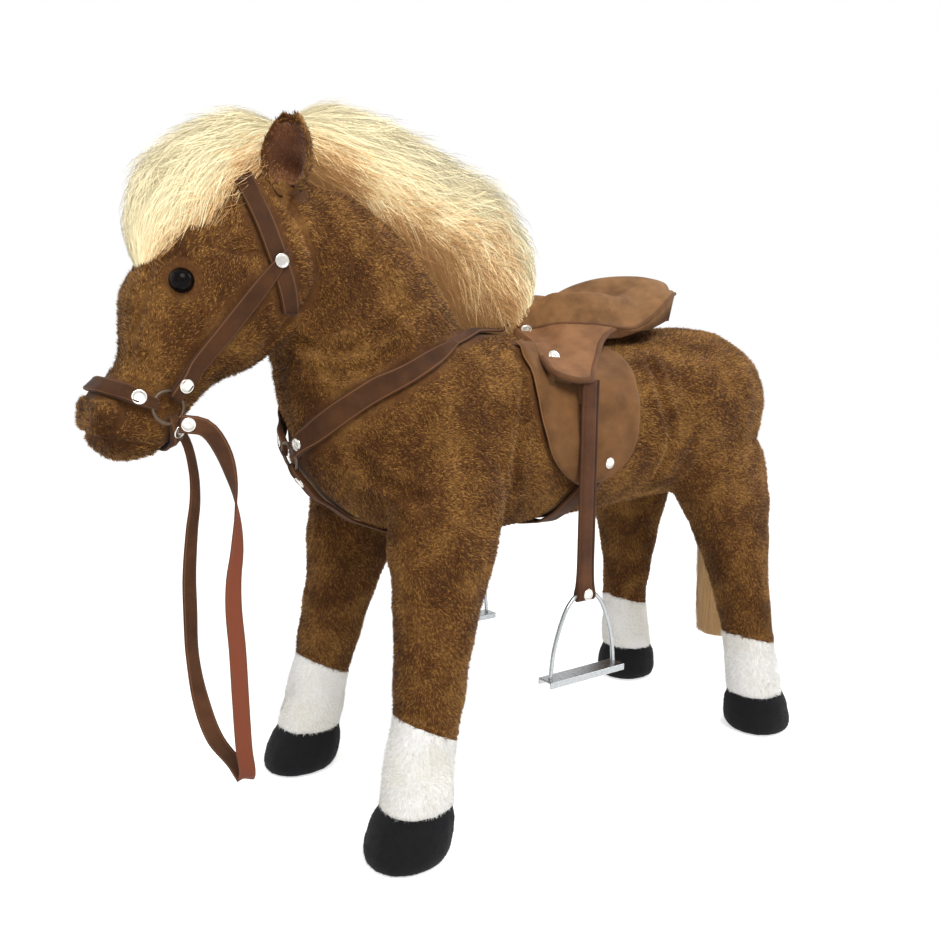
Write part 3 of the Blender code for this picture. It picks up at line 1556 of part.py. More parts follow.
def make_bow(side, bar, hinge):
    """One wire bow, with its straight bar on top."""
    name = f"stirrup_bow_{SIDE_NAMES[side]}"
    half = [bar + Vector((0.0, BOW_TOP_WIDTH / 2 * share, 0.0)) for share in (0.0, 0.5, 1.0)]
    places = [Vector((0.0, BOW_TOP_WIDTH / 2, 0.0))]
    places += [Vector((0.0, BOW_WIDTH / 2 * y, -BOW_HEIGHT * z)) for y, z in BOW_SHARES]
    half += [bar + point for point in smooth_path(places, WRAP_STEP * BOW_STEP_SHARE)[1:]]
    route = [Vector((point.x, 2 * bar.y - point.y, point.z)) for point in half[:0:-1]] + half
    return new_object(name, curve_tube(name, route, BOW_WIRE / 2), ZINC, hinge)


def make_tread(side, bar, hinge):
    """One folded sheet tread."""
    name = f"stirrup_tread_{SIDE_NAMES[side]}"
    middle = bar - Vector((0.0, 0.0, BOW_HEIGHT - TREAD_SHEET * 2))
    profile = ((-0.5, -TREAD_LIP), (-0.5, 0.0), (0.5, 0.0), (0.5, -TREAD_LIP))
    inset = ((1.0, 0.0), (1.0, -1.0), (-1.0, -1.0), (-1.0, 0.0))
    outer, inner = [], []
    for share in TREAD_ROW_SHARES:
        row = [middle + Vector((TREAD_WIDTH * x, TREAD_LENGTH * share, z)) for x, z in profile]
        moves = [Vector((x * TREAD_SHEET, 0.0, z * TREAD_SHEET)) for x, z in inset]
        outer.append(row)
        inner.append([point + move for point, move in zip(row, moves)])
    return new_object(name, slab(name, outer, inner), ZINC, hinge)


def make_stirrup(side):
    """One leather, with the bow and the tread that hang in its fold."""
    name = SIDE_NAMES[side]
    pivot = Vector((side * (LEATHER_FACE_X + LEATHER_THICKNESS / 2), LEATHER_Y, LEATHER_HINGE_Z))
    bar = pivot - Vector((0.0, 0.0, LEATHER_DROP))
    leather_hinge = hinge_empty(f"leather_hinge_{name}", pivot)
    bow_hinge = hinge_empty(f"stirrup_hinge_{name}", bar)
    leather = make_leather(side, pivot, leather_hinge)
    bow = make_bow(side, bar, bow_hinge)
    tread = make_tread(side, bar, bow_hinge)
    bow_cutter = swollen(bow)
    trim(leather, bow_cutter, swollen(SADDLE[f"stirrup_hanger_{name}"]))
    trim(tread, bow_cutter)
    beside = Vector((side * OVERRUN, 0.0, LEATHER_RIVET_RISE - LEATHER_DROP))
    rivet_on(leather, *surface_of(leather).find_nearest(beside)[:2])
    return {piece.name: piece for piece in (leather, bow, tread)}


# Reins

def make_reins(centre, normal):
    """One long strap that hangs in a loop from ring to ring."""
    route = [Vector(point) for point in REIN_ROUTE]
    away = route[1] - centre
    away = (away - normal * away.dot(normal)).normalized()
    route[0] = centre + away * (RING_RADIUS + RING_WIRE + GAP)
    route[-1] = mirrored(route[0])
    path = smooth_path(route, WRAP_STEP)
    outer, inner = [], []
    for index, place in enumerate(path):
        before = path[max(index - 1, 0)]
        after = path[min(index + 1, len(path) - 1)]
        along = (after - before).normalized()
        across = Vector((0.0, 1.0, 0.0))
        across = (across - along * across.dot(along)).normalized() * REIN_WIDTH / 2
        face = along.cross(across).normalized() * REIN_THICKNESS / 2
        outer.append([place + face - across, place + face + across])
        inner.append([place - face - across, place - face + across])
    return new_object("reins", slab("reins", outer, inner), STRAP_SUEDE)


BODY, BODY_CUTTERS, BODY_SURFACE, HEAD_SURFACE = make_body()
EARS = {}
for ear_side in (LEFT, RIGHT):
    for piece in (*make_ear(ear_side, BODY_CUTTERS["head"]), make_eye(ear_side, BODY_CUTTERS["head"])):
        EARS[piece.name] = piece
BRIDLE, RING_CENTRE, RING_NORMAL = make_bridle()
HARNESS = make_harness()
SADDLE = make_saddle()
HAIR = make_hair()
STIRRUPS = {**make_stirrup(LEFT), **make_stirrup(RIGHT)}
REINS = make_reins(RING_CENTRE, RING_NORMAL)
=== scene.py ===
"""A standing plush pony with saddle, bridle, stirrups and reins.

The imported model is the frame. Every piece is made in metres, in the pony's
own stance, and rides on one of its bodies.
"""

import logging
import math
from collections.abc import Callable, Iterable, Sequence
from dataclasses import dataclass, field
from enum import Enum

import bmesh
import bpy
import numpy as np
from mathutils import Matrix, Vector
from mathutils.bvhtree import BVHTree


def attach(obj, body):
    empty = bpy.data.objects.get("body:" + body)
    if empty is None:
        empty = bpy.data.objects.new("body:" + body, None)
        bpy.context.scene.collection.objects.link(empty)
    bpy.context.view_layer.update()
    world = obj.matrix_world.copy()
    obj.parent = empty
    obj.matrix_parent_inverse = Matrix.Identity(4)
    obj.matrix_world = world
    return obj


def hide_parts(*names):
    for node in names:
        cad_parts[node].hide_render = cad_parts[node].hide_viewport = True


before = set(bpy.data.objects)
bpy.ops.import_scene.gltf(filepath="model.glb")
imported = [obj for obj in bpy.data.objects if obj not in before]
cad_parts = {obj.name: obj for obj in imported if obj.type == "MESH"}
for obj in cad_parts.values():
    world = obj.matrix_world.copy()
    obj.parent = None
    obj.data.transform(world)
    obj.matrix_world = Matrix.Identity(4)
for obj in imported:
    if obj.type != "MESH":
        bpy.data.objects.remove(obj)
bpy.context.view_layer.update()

LOG = logging.getLogger("plush_pony")
STAND = Vector((0.0, 0.0775, 0.0))
UP = Vector((0.0, 0.0, 1.0))
STANDOFF = 0.0008
CAST_REACH = 0.3
SWELL = 0.0006
PIECE_TRIANGLES = 195_000
Points = Sequence[Sequence[float]]
Colour = tuple[float, float, float]
Array = np.ndarray
Item = bpy.types.Object
Mesh = bpy.types.Mesh
Material = bpy.types.Material
Node = bpy.types.Node
Tree = bpy.types.NodeTree
Socket = bpy.types.NodeSocket


class Side(Enum):
    """A side of the pony, with its sign along x."""

    LEFT = 1
    RIGHT = -1

    @property
    def word(self) -> str:
        """The side's name in lower case."""
        return self.name.lower()

    def place(self, point: Iterable[float]) -> Vector:
        """A point given for the left side, on this side of the standing pony."""
        x, y, z = point
        return Vector((x * self.value, y, z)) + STAND


class StrapEnd(Enum):
    """How the end of a strap is cut."""

    SQUARE = "square"
    ROUND = "round"
    TAPERED = "tapered"


# Smooth curves and even randomness

def smooth_step(share: float) -> float:
    """A soft rise from nought to one."""
    share = min(max(share, 0.0), 1.0)
    return share * share * (3.0 - 2.0 * share)


def soft(values: Array, low: float, high: float) -> Array:
    """A soft rise from nought at low to one at high, over an array."""
    share = np.clip((values - low) / (high - low), 0.0, 1.0)
    return share * share * (3.0 - 2.0 * share)


def unit(vectors: Array) -> Array:
    """The vectors at a length of one."""
    return vectors / np.maximum(np.linalg.norm(vectors, axis=-1, keepdims=True), 1e-9)


def blend_value(places: Sequence[float], values: Sequence[float], place: float) -> float:
    """A smooth curve through values, read at a place."""
    last = len(places) - 1
    place = min(max(place, places[0]), places[last])
    cell = max(index for index in range(last) if places[index] <= place)
    span = places[cell + 1] - places[cell]
    share = (place - places[cell]) / span

    def slope(index: int) -> float:
        before, after = max(index - 1, 0), min(index + 1, last)
        return (values[after] - values[before]) / (places[after] - places[before])

    square, cube = share * share, share ** 3
    return (
        (2 * cube - 3 * square + 1) * values[cell]
        + (cube - 2 * square + share) * span * slope(cell)
        + (3 * square - 2 * cube) * values[cell + 1]
        + (cube - square) * span * slope(cell + 1)
    )


def smooth_path(points: Iterable[Iterable[float]], step: float) -> list[Vector]:
    """Points about a step apart along a smooth curve through a few places."""
    points = [Vector(point) for point in points]
    places = [0.0]
    for before, after in zip(points, points[1:]):
        places.append(places[-1] + (after - before).length)
    count = max(int(round(places[-1] / step)), 2)
    return [
        Vector([blend_value(places, [p[axis] for p in points], places[-1] * k / count) for axis in range(3)])
        for k in range(count + 1)
    ]


def ripple(points: Array, wavelength: float, seed: int, channels: int = 1) -> Array:
    """Smooth random values about -1 to 1 that change over a wavelength.

    Args:
        points: Places, one row each.
        wavelength: The length over which the values change.
        seed: The seed of the draw.
        channels: How many values each place gets.

    Returns:
        One row of values for each place.
    """
    waves = 10
    draw = np.random.default_rng(seed)
    total = np.zeros((len(points), channels))
    for channel in range(channels):
        for _ in range(waves):
            way = unit(draw.normal(size=3))
            pace = 2 * math.pi / (wavelength * draw.uniform(0.7, 1.5))
            total[:, channel] += np.sin(points @ way * pace + draw.uniform(0, 2 * math.pi))
    return total / math.sqrt(waves / 1.2)


# Node groups that several finishes share

def add_group(name: str, inputs: dict[str, float], outputs: Iterable[str]) -> tuple:
    """An empty shader group.

    Args:
        name: The group's name.
        inputs: Its value inputs with their defaults.
        outputs: Its value outputs.

    Returns:
        The tree, its input node and its output node.
    """
    tree = bpy.data.node_groups.new(name, "ShaderNodeTree")
    for label, value in inputs.items():
        socket = tree.interface.new_socket(label, in_out="INPUT", socket_type="NodeSocketFloat")
        socket.default_value = value
    for label in outputs:
        tree.interface.new_socket(label, in_out="OUTPUT", socket_type="NodeSocketFloat")
    return tree, tree.nodes.new("NodeGroupInput"), tree.nodes.new("NodeGroupOutput")


def feed(tree: Tree, socket: Socket, value: object) -> None:
    """Link a socket to another one, or set it to a number or a colour."""
    if isinstance(value, Socket):
        tree.links.new(value, socket)
    else:
        socket.default_value = (*value, 1.0) if isinstance(value, tuple) else value


def give(node: Node, **values: object) -> None:
    """Set inputs of a node by name, with an underscore for each space."""
    for label, value in values.items():
        node.inputs[label.replace("_", " ")].default_value = value


def math_node(tree: Tree, operation: str, *values: object) -> Socket:
    """A math node fed by sockets or numbers, and its result."""
    node = tree.nodes.new("ShaderNodeMath")
    node.operation = operation
    for socket, value in zip(node.inputs, values):
        feed(tree, socket, value)
    return node.outputs[0]


def noise_value(tree: Tree, scale: object, detail: float, stretch: Colour = (1, 1, 1)) -> Socket:
    """Noise over the piece's own place in metres, and its value."""
    place = tree.nodes.new("ShaderNodeTexCoord").outputs["Object"]
    mapping = tree.nodes.new("ShaderNodeMapping")
    give(mapping, Scale=stretch)
    tree.links.new(place, mapping.inputs["Vector"])
    noise = tree.nodes.new("ShaderNodeTexNoise")
    give(noise, Detail=detail)
    tree.links.new(mapping.outputs[0], noise.inputs["Vector"])
    feed(tree, noise.inputs["Scale"], scale)
    return noise.outputs[0]


def nap_group() -> Tree:
    """Patches where the nap lies towards or away from the light."""
    tree, into, out = add_group("nap", {"Patch": 22.0, "Speck": 420.0, "Speckle": 0.3}, ("Shade",))
    patches = noise_value(tree, into.outputs["Patch"], 3.0)
    specks = noise_value(tree, into.outputs["Speck"], 1.0)
    spread = math_node(tree, "SUBTRACT", specks, 0.5)
    speckle = math_node(tree, "MULTIPLY", spread, into.outputs["Speckle"])
    tree.links.new(math_node(tree, "ADD", patches, speckle), out.inputs["Shade"])
    return tree


def suede_group() -> Tree:
    """Brushed suede: cloudy patches, short scuffs and a fine pile."""
    tree, into, out = add_group("suede", {"Patch": 30.0, "Pile": 900.0}, ("Shade", "Height"))
    cloud = noise_value(tree, into.outputs["Patch"], 4.0)
    scuffs = noise_value(tree, 160.0, 2.0, (1.0, 0.35, 0.6))
    pile = noise_value(tree, into.outputs["Pile"], 2.0)
    wide = math_node(tree, "MULTIPLY", cloud, 0.6)
    both = math_node(tree, "MULTIPLY_ADD", scuffs, 0.25, wide)
    tree.links.new(math_node(tree, "MULTIPLY_ADD", pile, 0.15, both), out.inputs["Shade"])
    tree.links.new(pile, out.inputs["Height"])
    return tree


def wear_group() -> Tree:
    """Fine scratches and dull spots of plated metal."""
    tree, into, out = add_group("plate_wear", {"Scale": 300.0}, ("Dull", "Height"))
    spots = noise_value(tree, into.outputs["Scale"], 4.0)
    scratches = noise_value(tree, 700.0, 3.0, (0.08, 1.0, 1.0))
    tree.links.new(math_node(tree, "MULTIPLY", spots, scratches), out.inputs["Dull"])
    tree.links.new(scratches, out.inputs["Height"])
    return tree


# Finishes

GROUP_MAKERS = {"nap": nap_group, "suede": suede_group, "wear": wear_group}
GROUPS: dict[str, Tree] = {}


def group_node(tree: Tree, name: str, **values: float) -> Node:
    """A shared group, built once, placed in a material with its own values."""
    if name not in GROUPS:
        GROUPS[name] = GROUP_MAKERS[name]()
    node = tree.nodes.new("ShaderNodeGroup")
    node.node_tree = GROUPS[name]
    give(node, **values)
    return node


def bare_material(name: str) -> tuple[Material, Tree, Node]:
    """A new material, its tree and its shader."""
    made = bpy.data.materials.new(name)
    made.use_nodes = True
    return made, made.node_tree, made.node_tree.nodes["Principled BSDF"]


def ramp(tree: Tree, value: Socket, stops: Sequence[tuple[float, Colour]]) -> Socket:
    """A colour ramp fed by a value."""
    node = tree.nodes.new("ShaderNodeValToRGB")
    while len(node.color_ramp.elements) < len(stops):
        node.color_ramp.elements.new(0.5)
    for element, (place, colour) in zip(node.color_ramp.elements, stops):
        element.position = place
        element.color = (*colour, 1.0)
    tree.links.new(value, node.inputs[0])
    return node.outputs[0]


def mixed(tree: Tree, share: object, first: object, second: object, way: str = "MIX") -> Socket:
    """Two colours mixed by a share, and the result."""
    node = tree.nodes.new("ShaderNodeMix")
    node.data_type = "RGBA"
    node.blend_type = way
    for number, value in ((0, share), (6, first), (7, second)):
        feed(tree, node.inputs[number], value)
    return node.outputs[2]


def map_place(tree: Tree, name: str) -> tuple[Socket, Socket]:
    """Both values of one of a piece's maps."""
    node = tree.nodes.new("ShaderNodeUVMap")
    node.uv_map = name
    split = tree.nodes.new("ShaderNodeSeparateXYZ")
    tree.links.new(node.outputs[0], split.inputs[0])
    return split.outputs[0], split.outputs[1]


def bumped(tree: Tree, shader: Node, height: Socket, strength: float, distance: float) -> None:
    """Give a shader its fine relief."""
    bump = tree.nodes.new("ShaderNodeBump")
    give(bump, Strength=strength, Distance=distance)
    tree.links.new(height, bump.inputs["Height"])
    tree.links.new(bump.outputs[0], shader.inputs["Normal"])


def both_sides_alike(tree: Tree, shader: Node) -> None:
    """Light a thin thread by its own normal on both of its faces."""
    face = tree.nodes.new("ShaderNodeNewGeometry")
    turn = tree.nodes.new("ShaderNodeVectorMath")
    turn.operation = "SCALE"
    tree.links.new(face.outputs["Normal"], turn.inputs[0])
    sign = math_node(tree, "MULTIPLY_ADD", face.outputs["Backfacing"], -2.0, 1.0)
    tree.links.new(sign, turn.inputs["Scale"])
    tree.links.new(turn.outputs[0], shader.inputs["Normal"])


@dataclass(frozen=True)
class PlushFinish:
    """Plush or hair: its colours from dark to light, and its threads from root to tip, painted darker at the
    root as shade.
    """

    name: str
    dark: Colour
    middle: Colour
    light: Colour
    # root: how bright a thread is painted at its root, a painted shade between the threads.
    root: float = 0.45
    patch: float = 22.0
    speckle: float = 0.35
    spread: float = 0.35
    sheen: float = 0.25
    roughness: float = 0.82
    # An emission in the threads' own colour: a painted glow that brightens them.
    glow: float = 0.03
    # How far and how deep the cloth under the threads is drawn towards a dark tone: painted shade under the
    # pile.
    backing: float = 0.75
    backing_shade: float = 0.4
    stops: Colour = (0.34, 0.51, 0.68)

    def material(self, threads: bool) -> Material:
        """The finish of the threads, or of the cloth they stand on."""
        made, tree, shader = bare_material(self.name + ("_threads" if threads else "_backing"))
        shade = group_node(tree, "nap", Patch=self.patch, Speckle=self.speckle).outputs["Shade"]
        if threads:
            number, along = map_place(tree, "Strand")
            shift = math_node(tree, "MULTIPLY", math_node(tree, "SUBTRACT", number, 0.5), self.spread)
            shade = math_node(tree, "ADD", shade, shift)
        colour = ramp(tree, shade, tuple(zip(self.stops, (self.dark, self.middle, self.light))))
        if threads:
            # Threads are painted darker towards the root: painted shade where the threads shadow each other.
            lit = math_node(tree, "MULTIPLY_ADD", along, 1.0 - self.root, self.root)
            painted_root_shade = ramp(tree, lit, ((0.0, (0, 0, 0)), (1.0, (1, 1, 1))))
            colour = mixed(tree, 1.0, colour, painted_root_shade, "MULTIPLY")
            both_sides_alike(tree, shader)
            # The threads emit their own colour: a painted glow.
            tree.links.new(colour, shader.inputs["Emission Color"])
            give(shader, Emission_Strength=self.glow)
        else:
            # The cloth under the pile is drawn towards a darker tone: painted shade under the threads.
            colour = mixed(tree, self.backing, colour, tuple(value * self.backing_shade for value in self.dark))
        tree.links.new(colour, shader.inputs["Base Color"])
        give(shader, Roughness=self.roughness, Specular_IOR_Level=0.25, Sheen_Weight=self.sheen,
             Sheen_Roughness=0.45)
        return made


@dataclass(frozen=True)
class SuedeFinish:
    """Imitation suede, with a line of another tone along its folded edges."""

    name: str
    dark: Colour
    light: Colour
    edge: Colour
    edge_share: float = 0.0
    back: Colour | None = None

    def material(self) -> Material:
        """The material of one piece."""
        made, tree, shader = bare_material(self.name)
        suede = group_node(tree, "suede")
        colour = ramp(tree, suede.outputs["Shade"], ((0.36, self.dark), (0.64, self.light)))
        if self.edge_share:
            width = map_place(tree, "Width")[0]
            behind = math_node(tree, "GREATER_THAN", width, 1.5)
            if self.back:
                colour = mixed(tree, behind, colour, self.back)
            place = math_node(tree, "MULTIPLY_ADD", behind, -2.0, width)
            middle = math_node(tree, "ABSOLUTE", math_node(tree, "SUBTRACT", place, 0.5))
            off = math_node(tree, "ABSOLUTE", math_node(tree, "SUBTRACT", middle, 0.5 - self.edge_share))
            line = math_node(tree, "SUBTRACT", 1.0, math_node(tree, "DIVIDE", off, self.edge_share / 2))
            colour = mixed(tree, math_node(tree, "MAXIMUM", line, 0.0), colour, self.edge)
        tree.links.new(colour, shader.inputs["Base Color"])
        bumped(tree, shader, suede.outputs["Height"], 0.35, 0.0006)
        give(shader, Roughness=0.78, Specular_IOR_Level=0.18, Sheen_Weight=0.05, Sheen_Roughness=0.5)
        return made


@dataclass(frozen=True)
class MetalFinish:
    """Plated metal with fine wear."""

    name: str
    colour: Colour
    roughness: float
    dulling: float = 0.35
    darkening: float = 0.72

    def material(self) -> Material:
        """The material of one piece."""
        made, tree, shader = bare_material(self.name)
        wear = group_node(tree, "wear")
        dull = math_node(tree, "MULTIPLY_ADD", wear.outputs["Dull"], self.dulling, self.roughness)
        tree.links.new(dull, shader.inputs["Roughness"])
        darker = tuple(channel * self.darkening for channel in self.colour)
        colour = ramp(tree, wear.outputs["Dull"], ((0.15, self.colour), (0.55, darker)))
        tree.links.new(colour, shader.inputs["Base Color"])
        give(shader, Metallic=1.0)
        bumped(tree, shader, wear.outputs["Height"], 0.08, 0.0003)
        return made


@dataclass(frozen=True)
class PlasticFinish:
    """Moulded glossy plastic, a little clouded."""

    name: str
    colour: Colour
    cloud: Colour

    def material(self) -> Material:
        """The material of one piece."""
        made, tree, shader = bare_material(self.name)
        colour = ramp(tree, noise_value(tree, 300.0, 2.0), ((0.4, self.colour), (0.7, self.cloud)))
        tree.links.new(colour, shader.inputs["Base Color"])
        give(shader, Roughness=0.03, Specular_IOR_Level=0.06)
        return made


BROWN_PLUSH = PlushFinish(
    "brown_plush", (0.098, 0.030, 0.004), (0.270, 0.105, 0.017), (0.700, 0.350, 0.088), root=0.36, patch=30.0,
    spread=0.74, sheen=0.06, stops=(0.26, 0.50, 0.75))
LINING_PLUSH = PlushFinish(
    "lining_plush", (0.150, 0.050, 0.017), (0.360, 0.138, 0.052), (0.560, 0.260, 0.115))
WHITE_PLUSH = PlushFinish(
    "white_plush", (0.880, 0.850, 0.780), (0.950, 0.935, 0.900), (0.980, 0.975, 0.960), root=0.92, spread=0.20,
    speckle=0.15, glow=0.26, backing=0.1)
BLACK_PLUSH = PlushFinish(
    "black_plush", (0.0015, 0.0015, 0.0025), (0.003, 0.003, 0.005), (0.007, 0.007, 0.011), root=0.6, sheen=0.05)
BLOND_HAIR = PlushFinish(
    "blond_hair", (0.430, 0.225, 0.085), (0.920, 0.610, 0.290), (1.000, 0.880, 0.560), root=0.66, patch=12.0,
    spread=0.80, sheen=0.20, roughness=0.60, glow=0.31, backing=0.2)
TAIL_HAIR = PlushFinish(
    "tail_hair", (0.500, 0.310, 0.145), (0.760, 0.520, 0.285), (0.920, 0.710, 0.440), root=0.70, patch=14.0,
    spread=0.45, sheen=0.20, roughness=0.60, glow=0.32)
STRAP_SUEDE = SuedeFinish(
    "strap_suede", (0.037, 0.0135, 0.0046), (0.084, 0.032, 0.0105), (0.175, 0.075, 0.030), 0.08)
REIN_SUEDE = SuedeFinish(
    "rein_suede", (0.060, 0.024, 0.010), (0.115, 0.046, 0.019), (0.190, 0.080, 0.038), 0.09,
    back=(0.230, 0.062, 0.030))
SADDLE_SUEDE = SuedeFinish("saddle_suede", (0.145, 0.062, 0.024), (0.270, 0.126, 0.053), (0.250, 0.120, 0.055))
SEAT_SUEDE = SuedeFinish("seat_suede", (0.118, 0.053, 0.018), (0.275, 0.136, 0.052), (0.230, 0.110, 0.050))
FLAP_SUEDE = SuedeFinish(
    "flap_suede", (0.112, 0.049, 0.0155), (0.205, 0.093, 0.032), (0.290, 0.150, 0.068), 0.035)
BINDING_SUEDE = SuedeFinish(
    "binding_suede", (0.088, 0.036, 0.014), (0.165, 0.073, 0.030), (0.200, 0.100, 0.050))
LEATHER_SUEDE = SuedeFinish(
    "leather_suede", (0.055, 0.021, 0.009), (0.112, 0.043, 0.018), (0.030, 0.011, 0.005), 0.20)
PLYWOOD = SuedeFinish("plywood", (0.420, 0.270, 0.130), (0.620, 0.440, 0.240), (0.300, 0.190, 0.090))
NICKEL = MetalFinish("nickel_plate", (0.680, 0.655, 0.610), 0.14)
ZINC = MetalFinish("zinc_plate", (0.430, 0.450, 0.460), 0.20)
BLACK_STEEL = MetalFinish("black_steel", (0.030, 0.030, 0.034), 0.45)
RING_STEEL = MetalFinish("ring_steel", (0.120, 0.085, 0.060), 0.38)
EYE_PLASTIC = PlasticFinish("eye_plastic", (0.002, 0.002, 0.003), (0.010, 0.005, 0.003))


# Pieces and meshes

def add_item(name: str, data: object) -> Item:
    """A new object in the scene."""
    item = bpy.data.objects.new(name, data)
    bpy.context.scene.collection.objects.link(item)
    return item


def new_piece(name: str, mesh: Mesh, finish: Material, body: str,
              stands_for: Iterable[str] = ()) -> Item:
    """A finished piece that rides on a body.

    Args:
        name: The piece's name.
        mesh: Its mesh, already in place.
        finish: Its material.
        body: The body that it moves with.
        stands_for: The plain solids that it replaces.

    Returns:
        The new object.
    """
    return settle(add_item(name, mesh), finish, body, stands_for)


def settle(item: Item, finish: Material, body: str, stands_for: Iterable[str] = ()) -> Item:
    """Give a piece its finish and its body."""
    item.data.materials.clear()
    item.data.materials.append(finish)
    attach(item, body)
    if stands_for:
        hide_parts(*stands_for)
    LOG.info("%s: %d faces", item.name, len(item.data.polygons))
    return item


def apply_modifiers(item: Item) -> None:
    """Make the modifiers of an object part of its mesh."""
    bpy.ops.object.select_all(action="DESELECT")
    item.select_set(True)
    bpy.context.view_layer.objects.active = item
    for modifier in list(item.modifiers):
        bpy.ops.object.modifier_apply(modifier=modifier.name)


def mesh_of(name: str, points: Points, faces: Sequence[Sequence[int]]) -> Mesh:
    """A mesh with its faces turned outwards and shaded smooth."""
    mesh = bpy.data.meshes.new(name)
    mesh.from_pydata([tuple(point) for point in points], [], faces)
    work = bmesh.new()
    work.from_mesh(mesh)
    bmesh.ops.recalc_face_normals(work, faces=work.faces)
    work.to_mesh(mesh)
    work.free()
    mesh.shade_smooth()
    return mesh


def surface_of(*items: Item) -> BVHTree:
    """A search tree over the meshes of some objects."""
    points, faces = [], []
    for item in items:
        first = len(points)
        points.extend(vert.co.copy() for vert in item.data.vertices)
        faces.extend([first + index for index in face.vertices] for face in item.data.polygons)
    return BVHTree.FromPolygons(points, faces)


def triangles_of(item: Item) -> tuple[Array, Array, Array]:
    """Places, normals and triangles of a mesh as arrays."""
    mesh = item.data
    mesh.calc_loop_triangles()
    places = np.empty(len(mesh.vertices) * 3, np.float32)
    normals = np.empty(len(mesh.vertices) * 3, np.float32)
    corners = np.empty(len(mesh.loop_triangles) * 3, np.int32)
    mesh.vertices.foreach_get("co", places)
    mesh.vertices.foreach_get("normal", normals)
    mesh.loop_triangles.foreach_get("vertices", corners)
    return places.reshape(-1, 3).astype(float), normals.reshape(-1, 3).astype(float), corners.reshape(-1, 3)


def stuffed_skin(name: str, nodes: Iterable[str], voxel: float, passes: int) -> Item:
    """One smooth skin over several stuffed solids, which first swell a little so that they meet.

    Args:
        name: The object's name.
        nodes: The plain solids under it.
        voxel: The size of the cells it is drawn on.
        passes: How often it is smoothed.

    Returns:
        The new object.
    """
    points, faces = [], []
    for node in nodes:
        work = bmesh.new()
        work.from_mesh(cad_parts[node].data)
        bmesh.ops.remove_doubles(work, verts=work.verts, dist=1e-5)
        work.normal_update()
        first = len(points)
        work.verts.index_update()
        points.extend(vert.co + vert.normal * SWELL for vert in work.verts)
        faces.extend([first + vert.index for vert in face.verts] for face in work.faces)
        work.free()
    mesh = bpy.data.meshes.new(name)
    mesh.from_pydata([tuple(point) for point in points], [], faces)
    skin = add_item(name, mesh)
    remesh = skin.modifiers.new("cells", "REMESH")
    remesh.mode = "VOXEL"
    remesh.voxel_size = voxel
    smoothing = skin.modifiers.new("smooth", "SMOOTH")
    smoothing.factor = 0.5
    smoothing.iterations = passes
    apply_modifiers(skin)
    keep_outside(skin)
    skin.data.shade_smooth()
    return skin


def keep_outside(item: Item) -> None:
    """Drop every shell of a mesh that lies inside its largest one."""
    work = bmesh.new()
    work.from_mesh(item.data)
    left = set(work.verts)
    shells = []
    while left:
        shell, edge = set(), [left.pop()]
        while edge:
            vert = edge.pop()
            shell.add(vert)
            for link in vert.link_edges:
                other = link.other_vert(vert)
                if other in left:
                    left.remove(other)
                    edge.append(other)
        shells.append(shell)
    limit = max(len(shell) for shell in shells) / 4
    inner = [vert for shell in shells if len(shell) < limit for vert in shell]
    bmesh.ops.delete(work, geom=inner, context="VERTS")
    work.to_mesh(item.data)
    work.free()


def move_along_normals(item: Item, amount: float) -> None:
    """Grow or shrink a mesh along its normals."""
    places, normals, _ = triangles_of(item)
    item.data.vertices.foreach_set("co", (places + normals * amount).astype(np.float32).ravel())
    item.data.update()


# Threads of plush and hair

@dataclass(frozen=True)
class Pile:
    """How the threads of a plush are cut and combed."""

    length: float
    width: float
    per_square: float
    lie: float = math.radians(50.0)
    scatter: float = 0.30
    swirl: float = 0.55
    swirl_span: float = 0.035
    tuft: float = 0.34
    tuft_span: float = 0.0042
    vary: float = 0.25
    steps: int = 1
    sink: float = 0.0003
    even: float = 0.62
    lowest: float = 0.22
    droop: float = 0.35


def ribbons(name: str, lines: Array, across: Array, looks: Array, finish: PlushFinish, numbers: Array,
            body: str = "pony") -> None:
    """Flat tapering threads, split into pieces of at most PIECE_TRIANGLES triangles each.

    Args:
        name: The name that the pieces start with.
        lines: Places along each thread, from root to tip.
        across: Half the width of each thread at each place but the tip.
        looks: The way that each thread's face is lit from.
        finish: Their finish.
        numbers: A random number for each thread.
        body: The body that they move with.
    """
    threads, knots = lines.shape[:2]
    count = max(1, math.ceil(threads / (PIECE_TRIANGLES // (2 * knots - 3))))
    order = np.argsort(lines[:, 0, 1], kind="stable")
    material = finish.material(True)
    for part, picked in enumerate(np.array_split(order, count)):
        label = name if count == 1 else f"{name}_{part + 1}"
        mesh = ribbon_mesh(label, lines[picked], across[picked], looks[picked], numbers[picked])
        new_piece(label, mesh, material, body)


